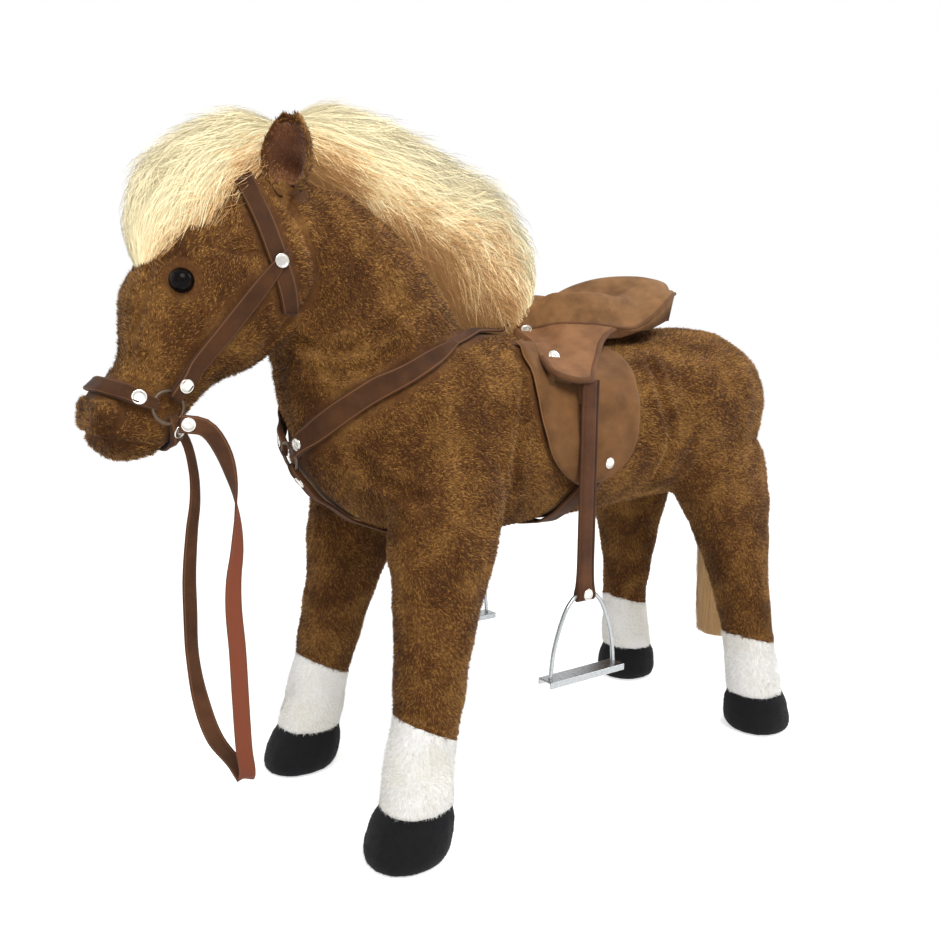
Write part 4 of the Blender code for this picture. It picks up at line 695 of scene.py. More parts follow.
def ribbon_mesh(name: str, lines: Array, across: Array, looks: Array, numbers: Array) -> Mesh:
    """Flat tapering threads in one mesh, with a map along them and a map to bake on."""
    threads, knots = lines.shape[:2]
    wide = knots - 1
    facing = (np.cross(across[:, 0], lines[:, 1] - lines[:, 0]) * looks).sum(1)
    across = across * np.where(facing < 0, -1.0, 1.0)[:, None, None]
    points = np.empty((threads, 2 * wide + 1, 3))
    points[:, 0:2 * wide:2] = lines[:, :wide] - across
    points[:, 1:2 * wide:2] = lines[:, :wide] + across
    points[:, -1] = lines[:, -1]
    pattern = []
    for k in range(wide - 1):
        a = 2 * k
        pattern += [(a, a + 1, a + 3), (a, a + 3, a + 2)]
    pattern.append((2 * wide - 2, 2 * wide - 1, 2 * wide))
    pattern = np.array(pattern)
    corners = (np.arange(threads)[:, None, None] * points.shape[1] + pattern[None]).reshape(-1)
    mesh = bpy.data.meshes.new(name)
    mesh.vertices.add(points.shape[0] * points.shape[1])
    mesh.vertices.foreach_set("co", points.astype(np.float32).ravel())
    mesh.loops.add(len(corners))
    mesh.loops.foreach_set("vertex_index", corners.astype(np.int32))
    mesh.polygons.add(len(corners) // 3)
    mesh.polygons.foreach_set("loop_start", np.arange(0, len(corners), 3, dtype=np.int32))
    mesh.update(calc_edges=True)
    mesh.shade_smooth()
    lit = mesh.attributes.new("custom_normal", "FLOAT_VECTOR", "POINT")
    lit.data.foreach_set("vector", np.repeat(looks, points.shape[1], 0).astype(np.float32).ravel())
    along = np.append(np.repeat(np.arange(wide) / wide, 2), 1.0)
    side = np.append(np.tile((0.1, 0.9), wide), 0.5)
    cells = math.ceil(math.sqrt(threads))
    row, column = np.divmod(np.arange(threads), cells)
    strand = np.stack([np.repeat(numbers[:, None], len(along), 1), np.repeat(along[None], threads, 0)], -1)
    spot = np.stack([column[:, None] + side[None], row[:, None] + 0.1 + 0.8 * along[None]], -1) / cells
    for label, values in (("Strand", strand), ("OFBake", spot)):
        layer = mesh.uv_layers.new(name=label)
        layer.uv.foreach_set("vector", values.reshape(-1, 2)[corners].astype(np.float32).ravel())
    return mesh


def scatter_roots(skin: Item, per_square: float, draw: np.random.Generator) -> tuple:
    """Random places on a skin with their normals, spread by area."""
    places, normals, corners = triangles_of(skin)
    a, b, c = (places[corners[:, k]] for k in range(3))
    areas = np.linalg.norm(np.cross(b - a, c - a), axis=1) / 2
    count = int(areas.sum() * per_square)
    picked = draw.choice(len(areas), size=count, p=areas / areas.sum())
    u, v = draw.random((2, count, 1))
    flip = (u + v) > 1
    u, v = np.where(flip, 1 - u, u), np.where(flip, 1 - v, v)
    weights = (1 - u - v, u, v)
    roots = sum(w * places[corners[picked, k]] for k, w in enumerate(weights))
    looks = unit(sum(w * normals[corners[picked, k]] for k, w in enumerate(weights)))
    return roots, looks


def clear_of(roots: Array, looks: Array, covers: BVHTree, reach: float = 0.012, near: float = 0.0052,
             far: float = 0.0095, pressed: float = 0.4) -> Array:
    """How tall a thread may stand at each root: nought under a cover, one away from it."""
    heights = np.ones(len(roots))
    cells = np.floor(roots / far).astype(int)
    keys, first, back = np.unique(cells, axis=0, return_index=True, return_inverse=True)
    close = np.array([covers.find_nearest(root, 3 * far)[0] is not None for root in roots[first].tolist()])
    LOG.info("%d cells of %d lie by a cover", close.sum(), len(keys))
    for index in np.flatnonzero(close[back.ravel()]):
        root, look = roots[index], looks[index]
        hit = covers.find_nearest(root, far)
        if hit[0] is None:
            continue
        height = smooth_step((hit[3] - near) / (far - near)) * (1 - pressed) + pressed
        heights[index] = 0.0 if hit[3] < near else height
        if heights[index] and covers.ray_cast(root, look, reach)[0] is not None:
            heights[index] = 0.0
    return heights


def combed(way: Vector) -> Callable[[Array], Array]:
    """A comb that lays every thread the same way."""
    return lambda places: np.tile(np.array(way), (len(places), 1))


def grow_pile(name: str, skin: Item, pile: Pile, comb: Callable[[Array], Array], finish: PlushFinish,
              seed: int, covers: BVHTree | None = None,
              keep: Callable[[Array, Array], Array] | None = None) -> None:
    """Threads of a plush, standing on its skin.

    Args:
        name: The name that the pieces start with.
        skin: The cloth that the threads stand on.
        pile: How they are cut and combed.
        comb: Gives the way that they are combed at each place.
        finish: Their finish.
        seed: The seed of the draw.
        covers: What lies on the plush and presses it down.
        keep: Gives which roots are kept.
    """
    draw = np.random.default_rng(seed)
    roots, looks = scatter_roots(skin, pile.per_square, draw)
    if keep is not None:
        kept = keep(roots, looks)
        roots, looks = roots[kept], looks[kept]
    tall = np.ones(len(roots))
    if covers is not None:
        tall = clear_of(roots, looks, covers)
        roots, looks, tall = roots[tall > 0], looks[tall > 0], tall[tall > 0]
    ways = comb(roots)
    ways += pile.swirl * ripple(roots, pile.swirl_span, seed + 1, 3)
    ways = unit(ways - looks * (ways * looks).sum(1, keepdims=True))
    ways = unit(ways + pile.scatter * draw.normal(size=ways.shape))
    pull = pile.tuft * ripple(roots, pile.tuft_span, seed + 2, 3)
    rise = unit(looks * math.cos(pile.lie) + ways * math.sin(pile.lie) + pull)
    below = (rise * looks).sum(1, keepdims=True)
    rise = unit(rise + looks * np.maximum(pile.lowest - below, 0.0))
    lengths = pile.length * tall * (1 + pile.vary * draw.uniform(-1, 1, len(roots)))
    lines = [roots - looks * pile.sink]
    way = rise
    for _ in range(pile.steps):
        lines.append(lines[-1] + way * (lengths / pile.steps)[:, None])
        way = unit(way + ways * pile.droop)
    lines = np.stack(lines, 1)
    turn = unit(np.cross(rise, looks + 0.9 * draw.normal(size=looks.shape)))
    share = np.linspace(1.0, 0.75, pile.steps)[None, :, None]
    across = turn[:, None, :] * share * pile.width / 2
    lit = unit(looks * pile.even + (1.0 - pile.even) * (pull + 0.5 * draw.normal(size=looks.shape)))
    ribbons(name, lines, across, lit, finish, draw.random(len(roots)))


# Studio

@dataclass
class Studio:
    """Camera, soft lights and a pale floor."""

    place: Colour = (0.7289, -0.6359, 0.4397)
    turn: float = math.radians(54.014)
    dip: float = math.radians(7.582)
    roll: float = math.radians(0.7116)
    focal_pixels: float = 893.2
    frame_pixels: float = 940.0
    sensor: float = 36.0
    floor_size: float = 14.0
    aim: Colour = (0.0, 0.0, 0.3)
    sky: Colour = (1.0, 0.985, 0.96)
    sky_power: float = 0.44
    floor_glow: float = 0.62
    lamps: tuple[tuple, ...] = (
        ("key", (1.6, -0.5, 1.9), 1.4, 41.0), ("fill", (-0.6, -1.8, 1.0), 1.6, 6.0),
        ("back", (0.4, 1.7, 1.7), 1.4, 21.0))

    def build(self) -> None:
        """Add the camera, the lights, the world and the floor."""
        self.camera()
        self.lights()
        self.world()
        self.floor()
        bpy.context.scene.view_settings.view_transform = "Standard"

    def camera(self) -> None:
        """The camera at the photograph's viewing angle."""
        level = Vector((-math.sin(self.turn), math.cos(self.turn), 0.0))
        ahead = level * math.cos(self.dip) - UP * math.sin(self.dip)
        right = Vector((math.cos(self.turn), math.sin(self.turn), 0.0))
        over = right.cross(ahead)
        tilted = right * math.cos(self.roll) + over * math.sin(self.roll)
        over = over * math.cos(self.roll) - right * math.sin(self.roll)
        matrix = Matrix((tilted, over, -ahead)).transposed().to_4x4()
        data = bpy.data.cameras.new("photo_camera")
        data.sensor_width = self.sensor
        data.lens = self.focal_pixels / self.frame_pixels * self.sensor
        data.clip_start = 0.01
        item = add_item("photo_camera", data)
        item.matrix_world = Matrix.Translation(Vector(self.place) + STAND) @ matrix
        bpy.context.scene.camera = item

    def lights(self) -> None:
        """A large key light over the camera, a fill and a light from behind."""
        for name, place, size, power in self.lamps:
            data = bpy.data.lights.new(name, "AREA")
            data.shape = "DISK"
            data.size = size
            data.energy = power
            item = add_item(name, data)
            item.location = place
            aim = Vector(self.aim) - item.location
            item.rotation_euler = aim.to_track_quat("-Z", "Y").to_euler()

    def world(self) -> None:
        """Even pale light, and white where the camera looks past the floor."""
        world = bpy.data.worlds.new("studio")
        world.use_nodes = True
        bpy.context.scene.world = world
        tree = world.node_tree
        plain = tree.nodes["Background"]
        give(plain, Color=(*self.sky, 1.0), Strength=self.sky_power)
        white = tree.nodes.new("ShaderNodeBackground")
        give(white, Color=(1.0, 1.0, 1.0, 1.0), Strength=1.0)
        self.seen_or_lit(tree, plain.outputs[0], white.outputs[0], tree.nodes["World Output"].inputs[0])

    def seen_or_lit(self, tree: Tree, lit: Socket, seen: Socket, target: Socket) -> None:
        """Show one shader to the camera and to mirrors, and another to the rest."""
        path = tree.nodes.new("ShaderNodeLightPath")
        rays = [path.outputs[name] for name in ("Is Camera Ray", "Is Glossy Ray", "Is Transmission Ray")]
        share = math_node(tree, "MAXIMUM", math_node(tree, "MAXIMUM", rays[0], rays[1]), rays[2])
        mix = tree.nodes.new("ShaderNodeMixShader")
        for socket, source in zip(mix.inputs, (share, lit, seen)):
            tree.links.new(source, socket)
        tree.links.new(mix.outputs[0], target)

    def floor(self) -> None:
        """A wide white floor that keeps a soft shadow."""
        bpy.ops.object.select_all(action="DESELECT")
        bpy.ops.mesh.primitive_plane_add(size=self.floor_size)
        item = bpy.context.active_object
        item.name = "floor"
        made, tree, shader = bare_material("floor_white")
        give(shader, Base_Color=(0.9, 0.9, 0.9, 1.0), Roughness=0.9, Specular_IOR_Level=0.0,
             Emission_Color=(1.0, 1.0, 1.0, 1.0), Emission_Strength=self.floor_glow)
        plain = tree.nodes.new("ShaderNodeBsdfDiffuse")
        give(plain, Color=(0.8, 0.8, 0.8, 1.0))
        self.seen_or_lit(tree, plain.outputs[0], shader.outputs[0], tree.nodes["Material Output"].inputs[0])
        item.data.materials.append(made)


# Sheets, lofts and tubes

def slab(name: str, outer: list, inner: list, closed: bool = False,
         run: Sequence[float] | None = None) -> Mesh:
    """A closed sheet between two grids of points, with a map across its width.

    Args:
        name: The mesh's name.
        outer: Rows of points of the outer face.
        inner: Rows of points of the inner face.
        closed: Whether the last row joins the first.
        run: How far along each row lies.

    Returns:
        The mesh.
    """
    rows, columns = len(outer), len(outer[0])
    run = np.linspace(0.0, 1.0, rows) if run is None else np.asarray(run)
    points = [point for grid in (outer, inner) for row in grid for point in row]
    below = rows * columns
    faces = []
    for r in range(rows if closed else rows - 1):
        after = (r + 1) % rows
        for c in range(columns - 1):
            a, b = r * columns + c, r * columns + c + 1
            d, e = after * columns + c, after * columns + c + 1
            faces += [(a, b, e, d), (below + a, below + d, below + e, below + b)]
        for c in (0, columns - 1):
            a, d = r * columns + c, after * columns + c
            faces.append((a, d, below + d, below + a))
    if not closed:
        for r in (0, rows - 1):
            for c in range(columns - 1):
                a, b = r * columns + c, r * columns + c + 1
                faces.append((a, b, below + b, below + a))
    mesh = mesh_of(name, points, faces)
    layer = mesh.uv_layers.new(name="Width")
    corners = np.empty(len(mesh.loops), np.int32)
    mesh.loops.foreach_get("vertex_index", corners)
    corners %= below
    values = np.stack([corners % columns / (columns - 1), run[corners // columns]], 1)
    layer.uv.foreach_set("vector", values.astype(np.float32).ravel())
    return mesh


def loft(name: str, rings: Sequence[Sequence[Vector]], closed: bool) -> Mesh:
    """A skin over rings of points, joined round or capped at its ends."""
    sides, count = len(rings[0]), len(rings)
    points = [point for ring in rings for point in ring]
    faces = []
    for r in range(count if closed else count - 1):
        low, high = r * sides, (r + 1) % count * sides
        for k in range(sides):
            after = (k + 1) % sides
            faces.append((low + k, low + after, high + after, high + k))
    if not closed:
        faces += [tuple(range(sides)), tuple((count - 1) * sides + k for k in range(sides))]
    return mesh_of(name, points, faces)


def tube(name: str, route: Sequence[Vector], radius: float, sides: int, closed: bool = False) -> Mesh:
    """A round tube along a route."""
    rings = []
    count = len(route)
    last = UP
    turns = [2 * math.pi * k / sides for k in range(sides)]
    for index, place in enumerate(route):
        before = route[index - 1] if closed or index else place
        after = route[(index + 1) % count] if closed or index < count - 1 else place
        along = (after - before).normalized()
        if abs(along.dot(last)) > 0.9:
            last = Vector((1.0, 0.0, 0.0))
        side = along.cross(last).normalized()
        last = side.cross(along).normalized()
        rings.append([place + (side * math.cos(turn) + last * math.sin(turn)) * radius for turn in turns])
    return loft(name, rings, closed)


def smooth_loop(points: Sequence[Vector], step: float) -> list[Vector]:
    """Even, softened places round a closed row of points."""
    places = np.array([tuple(point) for point in points])
    for _ in range(3):
        places = (np.roll(places, 1, 0) + 2 * places + np.roll(places, -1, 0)) / 4
    closed = np.vstack([places, places[:1]])
    run = np.append(0.0, np.cumsum(np.linalg.norm(np.diff(closed, axis=0), axis=1)))
    marks = np.linspace(0.0, run[-1], max(int(run[-1] / step), 8), endpoint=False)
    return [Vector(row) for row in np.stack([np.interp(marks, run, closed[:, k]) for k in range(3)], 1)]


# Straps, rivets and rings

@dataclass
class StrapMaker:
    """Cuts straps and lays them on the plush."""

    surface: BVHTree
    thickness: float = 0.0022
    step: float = 0.0045
    columns: int = 10
    taper: float = 0.016
    fold: float = 0.0053
    lap: float = 0.026
    stretch: int = 50
    ring_reach: float = 0.0052
    rivet_in: float = 0.0132
    edge_profile: tuple[float, ...] = (0.55, 1.00, 1.05, 0.92, 0.90, 0.90, 0.90, 0.92, 1.05, 1.00, 0.55)
    seats: dict[str, list] = field(default_factory=dict)

    def path(self, route: Sequence[Vector], closed: bool) -> list[Vector]:
        """Places along a route, at the strap's step."""
        if not closed:
            return smooth_path(route, self.step)
        path = smooth_path([*route[-3:], *route, *route[:3]], self.step)
        half = len(path) // 2
        starts = min(range(half), key=lambda k: (path[k] - route[0]).length)
        ends = min(range(half, len(path)), key=lambda k: (path[k] - route[0]).length)
        return path[starts:ends]

    def guide(self, route: Sequence[Vector], width: float, closed: bool,
              ends: tuple[StrapEnd, StrapEnd]) -> tuple[list, list, list]:
        """Places across the strap, the surface's normals there and the run."""
        hits = [self.surface.find_nearest(point) for point in self.path(route, closed)]
        places = [hit[0] for hit in hits]
        run = [0.0]
        for before, after in zip(places, places[1:]):
            run.append(run[-1] + (after - before).length)
        grid, looks = [], []
        last = len(places) - 1
        for index, (place, hit) in enumerate(zip(places, hits)):
            before = places[index - 1] if closed or index else place
            after = places[(index + 1) % len(places)] if closed or index < last else place
            across = (after - before).normalized().cross(hit[1]).normalized()
            half = width / 2
            for end, distance in zip(ends, (run[index], run[last] - run[index])):
                if end is StrapEnd.TAPERED:
                    half *= 1.0 - 0.36 * (1.0 - smooth_step(distance / self.taper))
                if end is StrapEnd.ROUND and distance < width / 2:
                    half *= max(math.sqrt(1.0 - (1.0 - 2 * distance / width) ** 2), 0.3)
            line = [place + across * half * (2 * k / self.columns - 1) for k in range(self.columns + 1)]
            found = [self.surface.find_nearest(point) for point in line]
            grid.append([hit[0] for hit in found])
            looks.append([hit[1] for hit in found])
        return *self.pull_taut(grid, looks, closed), run

    def pull_taut(self, grid: list, looks: list, closed: bool) -> tuple[list, list]:
        """Stretch the strap over the hollows of the plush."""
        skin = np.array([[tuple(point) for point in line] for line in grid])
        normals = np.array([[tuple(look) for look in line] for line in looks])
        pulled = skin.copy()
        for _ in range(self.stretch):
            before, after = np.roll(pulled, 1, 0), np.roll(pulled, -1, 0)
            eased = (before + 2 * pulled + after) / 4
            if not closed:
                eased[[0, -1]] = pulled[[0, -1]]
            eased[:, 1:-1] = eased[:, 1:-1] * 0.6 + (eased[:, :-2] + eased[:, 2:]) * 0.2
            sunk = np.minimum(((eased - skin) * normals).sum(-1, keepdims=True), 0.0)
            pulled = eased - normals * sunk
        for _ in range(6):
            normals[1:-1] = (normals[:-2] + 2 * normals[1:-1] + normals[2:]) / 4
        normals = unit(normals)
        return ([[Vector(point) for point in line] for line in pulled.tolist()],
                [[Vector(look) for look in line] for line in normals.tolist()])

    def strap(self, name: str, route: Iterable[Iterable[float]], width: float,
              lifts: tuple[float, float] = (0.0, 0.0), folds: tuple[float, float] = (0.0, 0.0),
              lap: float | None = None, rivets: tuple[float, float] = (0.0, 0.0), closed: bool = False,
              ends: tuple[StrapEnd, StrapEnd] = (StrapEnd.SQUARE, StrapEnd.SQUARE),
              thickness: float | None = None) -> Mesh:
        """One strap with folded edges, laid on the surface.

        Args:
            name: The mesh's name.
            route: Places that it runs through.
            width: Its width.
            lifts: How far each end is raised over what lies under it.
            folds: How thick each end is that is turned back on itself.
            lap: How far a lift or a fold reaches.
            rivets: How far each rivet sits from its end.
            closed: Whether it runs round into itself.
            ends: How its ends are cut.
            thickness: Its thickness.

        Returns:
            The mesh.
        """
        route = [Vector(point) for point in route]
        grid, looks, run = self.guide(route, width, closed, ends)
        lap = lap or self.lap
        thickness = thickness or self.thickness
        outer, inner, middles = [], [], []
        for row, (line, faces) in enumerate(zip(grid, looks)):
            start, end = (
                1.0 - smooth_step((distance / lap - 0.7) / 0.6) if not closed else 0.0
                for distance in (run[row], run[-1] - run[row])
            )
            rise = STANDOFF + lifts[0] * start + lifts[1] * end
            body = thickness + max(folds[0] - thickness, 0.0) * start + max(folds[1] - thickness, 0.0) * end
            look = sum(faces, Vector()).normalized()
            turned = [face.lerp(look, 0.6).normalized() for face in faces]
            inner.append([point + way * rise for point, way in zip(line, turned)])
            outer.append([
                point + way * (rise + body * share)
                for point, way, share in zip(line, turned, self.edge_profile)
            ])
            middles.append((outer[-1][self.columns // 2], look))
        self.seats[name] = []
        for distance, from_start in zip(rivets, (True, False)):
            if distance:
                target = distance if from_start else run[-1] - distance
                row = min(range(len(run)), key=lambda k: abs(run[k] - target))
                self.seats[name].append(middles[row])
        return slab(name, outer, inner, closed, run)

    def lay(self, name: str, route: Iterable[Iterable[float]], width: float, finish: Material,
            **ways: object) -> list[Item]:
        """One strap as a finished piece on the pony, with the rivets in its seats."""
        mesh = self.strap(name, route, width, **ways)
        strap = new_piece(name + "_strap", mesh, finish, "pony", [name])
        rivets = [cap_rivet(f"{name}_rivet_{number + 1}", place, look)
                  for number, (place, look) in enumerate(self.seats[name])]
        return [strap, *rivets]

    @property
    def ring_lift(self) -> float:
        """How far an end is raised that is folded round a ring."""
        return self.ring_reach - self.fold / 2 - STANDOFF

    @property
    def over_lift(self) -> float:
        """How far an end is raised that lies on another strap."""
        return self.thickness + STANDOFF / 2


def aimed(item: Item, place: Vector, look: Vector) -> Item:
    """Move a mesh that was made round the upright axis to its place and its way."""
    turn = look.to_track_quat("Z", "Y").to_matrix().to_4x4()
    item.data.transform(Matrix.Translation(place) @ turn)
    item.data.shade_smooth()
    return item


def cap_rivet(name: str, place: Vector, look: Vector, body: str = "pony", radius: float = 0.0058,
              height: float = 0.0018) -> Item:
    """A cap rivet: a dished disc with a rolled rim.

    Args:
        name: The piece's name.
        place: The middle of its seat.
        look: The way that it faces.
        body: The body that it moves with.
        radius: Its radius.
        height: Its height.

    Returns:
        The piece.
    """
    bpy.ops.object.select_all(action="DESELECT")
    bpy.ops.mesh.primitive_circle_add(vertices=28, radius=radius * 0.9, fill_type="NGON")
    item = bpy.context.active_object
    item.name = name
    bpy.ops.object.mode_set(mode="EDIT")
    bpy.ops.mesh.select_all(action="SELECT")
    for grow, rise in ((1.11, 0.45), (0.93, 0.55), (0.86, -0.28), (0.5, 0.0), (0.4, 0.10)):
        bpy.ops.mesh.extrude_region_move(TRANSFORM_OT_translate={"value": (0.0, 0.0, height * rise)})
        bpy.ops.transform.resize(value=(grow, grow, 1.0), center_override=(0.0, 0.0, 0.0))
    bpy.ops.mesh.merge(type="CENTER")
    bpy.ops.object.mode_set(mode="OBJECT")
    return settle(aimed(item, place - look * height * 0.4, look), NICKEL.material(), body)


def wire_ring(node: str, radius: float = 0.0125, wire: float = 0.0016) -> Item:
    """A round wire ring where its plain solid is."""
    places, _, _ = triangles_of(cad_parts[node])
    _, _, axes = np.linalg.svd(places - places.mean(0), full_matrices=False)
    bpy.ops.object.select_all(action="DESELECT")
    bpy.ops.mesh.primitive_torus_add(
        major_radius=radius, minor_radius=wire, major_segments=48, minor_segments=12)
    item = bpy.context.active_object
    item.name = node + "_wire"
    aimed(item, Vector(places.mean(0)), Vector(axes[2]))
    return settle(item, RING_STEEL.material(), "pony", [node])


def there_and_back(route: Points) -> list[Vector]:
    """A left route that ends on the middle plane, carried on to the right."""
    left = [Side.LEFT.place(point) for point in route]
    return left + [Side.RIGHT.place(point) for point in reversed(route[:-1])]


def out_of_ring(centre: Vector, route: Sequence[Vector], start: float = 0.008) -> list[Vector]:
    """A route that starts inside a ring, so that its fold holds the wire."""
    return [centre + (route[0] - centre).normalized() * start, *route]


def out_of_both(centre: Vector, route: Sequence[Vector]) -> list[Vector]:
    """A route that starts inside a left ring and ends inside the right one."""
    far = Vector((-centre.x, centre.y, centre.z))
    return out_of_ring(far, out_of_ring(centre, route)[::-1])[::-1]


# Reins

@dataclass
class Reins:
    """One long strap that hangs in a loop from ring to ring."""

    width: float = 0.0145
    thickness: float = 0.0020
    columns: int = 6
    step: float = 0.006
    profile: tuple[float, ...] = (0.45, 1.0, 0.92, 0.85, 0.92, 1.0, 0.45)
    twists: Points = (
        (0.00, 0.0), (0.06, 8.0), (0.10, 42.0), (0.14, 88.0), (0.19, 122.0), (0.27, 145.0), (0.36, 160.0),
        (0.49, 180.0), (0.51, 180.0), (0.58, 155.0), (0.66, 120.0), (0.74, 124.0), (0.82, 116.0), (0.90, 104.0),
        (1.00, 98.0))
    rivet_share: float = 0.009
    broadside: Vector = Vector((0.588, 0.809, 0.0))
    route: Points = (
        (0.0450, -0.4071, 0.3867), (0.0440, -0.3946, 0.3775), (0.0415, -0.3806, 0.3592),
        (0.0380, -0.3718, 0.3341), (0.0340, -0.3668, 0.3041), (0.0300, -0.3658, 0.2740),
        (0.0270, -0.3680, 0.2484), (0.0240, -0.3675, 0.2217), (0.0200, -0.3635, 0.1848),
        (0.0155, -0.3600, 0.1380), (0.0115, -0.3562, 0.0896), (0.0085, -0.3525, 0.0680),
        (0.0000, -0.3512, 0.0579), (-0.0085, -0.3560, 0.0680), (-0.0115, -0.3740, 0.0968),
        (-0.0140, -0.3850, 0.1348), (-0.0170, -0.3900, 0.1753), (-0.0200, -0.3897, 0.2143),
        (-0.0240, -0.3882, 0.2446), (-0.0280, -0.3835, 0.2829), (-0.0310, -0.3790, 0.3082),
        (-0.0345, -0.3785, 0.3344), (-0.0390, -0.3840, 0.3620), (-0.0440, -0.3990, 0.3810),
        (-0.0450, -0.4071, 0.3867),
    )

    def build(self) -> Item:
        ends = self.ends()
        route = [ends[0], *(Side.LEFT.place(point) for point in self.route[1:-1]), ends[1]]
        path = smooth_path(route, self.step)
        run = [0.0]
        outer, inner, looks = [], [], []
        for index, place in enumerate(path):
            before = path[max(index - 1, 0)]
            after = path[min(index + 1, len(path) - 1)]
            if index:
                run.append(run[-1] + (place - path[index - 1]).length)
            along = (after - before).normalized()
            share = index / (len(path) - 1)
            across = (self.broadside - along * self.broadside.dot(along)).normalized()
            if share < 0.25:
                across = Vector((self.broadside.y, -self.broadside.x, 0.0)).cross(along).normalized()
            turn = math.radians(blend_value(*zip(*self.twists), share))
            across = Matrix.Rotation(turn if share < 0.5 else -turn, 3, along) @ across * self.width / 2
            look = along.cross(across).normalized() * self.thickness / 2
            looks.append(look)
            shares = [2 * k / self.columns - 1 for k in range(self.columns + 1)]
            outer.append([place + across * s + look * p for s, p in zip(shares, self.profile)])
            inner.append([place + across * s - look * p for s, p in zip(shares, self.profile)])
        mesh = slab("reins_strap", outer, inner, False, run)
        below = len(outer) * len(outer[0])
        widths = mesh.uv_layers["Width"].uv
        for face in mesh.polygons:
            if min(face.vertices) >= below:
                for corner in face.loop_indices:
                    widths[corner].vector.x += 2.0
        item = new_piece("reins_strap", mesh, REIN_SUEDE.material(), "pony", ["reins"])
        held = round(self.rivet_share * (len(path) - 1))
        for side, index in ((Side.LEFT, held), (Side.RIGHT, len(path) - 1 - held)):
            look = looks[index] * math.copysign(1.0, looks[index].x * side.value)
            cap_rivet(f"reins_rivet_{side.word}", path[index] + look, look.normalized())
        return item

    @staticmethod
    def ends() -> tuple[Vector, Vector]:
        """Where the strap leaves each ring: the highest ends of its plain solid."""
        places, _, _ = triangles_of(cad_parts["reins"])
        found = []
        for side in Side:
            own = places[places[:, 0] * side.value > 0.02]
            far = own[np.argsort(own[:, 1])[:4]]
            found.append(Vector(far.mean(0)))
        return found[0], found[1]


# Seams and folds of the coat, as places on the pony's left side

FACE_LUMPS = (
    ((0.0460, -0.3930, 0.5240), 0.0150, 0.0030),
    ((0.0330, -0.4060, 0.5240), 0.0140, 0.0026),
    ((0.0334, -0.4662, 0.3930), 0.0105, 0.0042),
    ((0.0200, -0.4700, 0.3860), 0.0130, 0.0016),
)
SEAM_LINES = (
    ((
        (0.0332, -0.3334, 0.5800), (0.0487, -0.3269, 0.5608), (0.0558, -0.3167, 0.5424),
        (0.0586, -0.3079, 0.5211), (0.0550, -0.3010, 0.5004), (0.0519, -0.3023, 0.4861),
        (0.0479, -0.3068, 0.4748), (0.0450, -0.3234, 0.4582), (0.0388, -0.3375, 0.4426),
        (0.0200, -0.3420, 0.4360),
    ), 0.0040, 0.0046),
    ((
        (0.0469, -0.3921, 0.5186), (0.0513, -0.3829, 0.5145), (0.0562, -0.3682, 0.5122),
        (0.0594, -0.3541, 0.5137),
    ), 0.0026, 0.0022),
    ((
        (0.0150, -0.4100, 0.5290), (0.0285, -0.4010, 0.5350), (0.0379, -0.3900, 0.5375),
        (0.0437, -0.3800, 0.5375), (0.0475, -0.3750, 0.5330), (0.0483, -0.3800, 0.5260),
        (0.0476, -0.3890, 0.5190),
    ), 0.0028, 0.0034),
    ((
        (0.0229, -0.4290, 0.4993), (0.0281, -0.4317, 0.4869), (0.0292, -0.4353, 0.4748),
        (0.0255, -0.4393, 0.4584), (0.0202, -0.4420, 0.4449), (0.0197, -0.4454, 0.4282),
    ), 0.0034, 0.0030),
    ((
        (0.0180, -0.4720, 0.4040), (0.0260, -0.4640, 0.4060), (0.0340, -0.4570, 0.4020),
        (0.0380, -0.4545, 0.3930), (0.0380, -0.4570, 0.3840), (0.0350, -0.4630, 0.3785),
        (0.0290, -0.4700, 0.3775),
    ), 0.0030, 0.0042),
    ((
        (0.0000, -0.4760, 0.3730), (0.0140, -0.4740, 0.3715), (0.0260, -0.4689, 0.3702),
        (0.0310, -0.4560, 0.3660), (0.0310, -0.4400, 0.3640), (0.0260, -0.4280, 0.3640),
    ), 0.0028, 0.0030),
)
FOLD_LINES = (
    ((
        (0.0330, -0.3083, 0.4430), (0.0522, -0.2902, 0.4375), (0.0641, -0.2684, 0.4436),
        (0.0686, -0.2420, 0.4608),
    ), 0.0055, 0.0016),
    ((
        (0.0387, -0.3020, 0.4240), (0.0587, -0.2797, 0.4211), (0.0697, -0.2524, 0.4313),
        (0.0714, -0.2288, 0.4501),
    ), 0.0055, 0.0017),
    ((
        (0.0577, -0.2730, 0.3507), (0.0691, -0.2522, 0.3290), (0.0967, -0.2290, 0.3135),
    ), 0.0060, 0.0018),
    ((
        (0.0706, -0.1039, 0.4394), (0.0910, -0.1126, 0.4094), (0.0977, -0.1184, 0.3779),
        (0.0953, -0.1236, 0.3319), (0.0929, -0.1166, 0.3018),
    ), 0.0045, 0.0018),
    ((
        (0.0848, 0.0746, 0.3065), (0.0971, 0.0794, 0.3342), (0.1002, 0.0805, 0.3607),
        (0.0959, 0.0678, 0.3972), (0.0738, 0.0717, 0.4328),
    ), 0.0050, 0.0017),
    ((
        (0.0860, 0.1040, 0.3010), (0.0960, 0.1150, 0.3380), (0.0960, 0.1150, 0.3700),
    ), 0.0050, 0.0013),
)


def distance_to_line(places: Array, path: Array) -> Array:
    """How far each place lies from a line through points."""
    nearest = np.full(len(places), np.inf)
    path = np.array([tuple(point) for point in smooth_path(path.tolist(), 0.006)])
    for start, end in zip(path, path[1:]):
        span = end - start
        share = np.clip((places - start) @ span / (span @ span), 0.0, 1.0)
        nearest = np.minimum(nearest, np.linalg.norm(places - start - share[:, None] * span, axis=1))
    return nearest


# Coat of the body

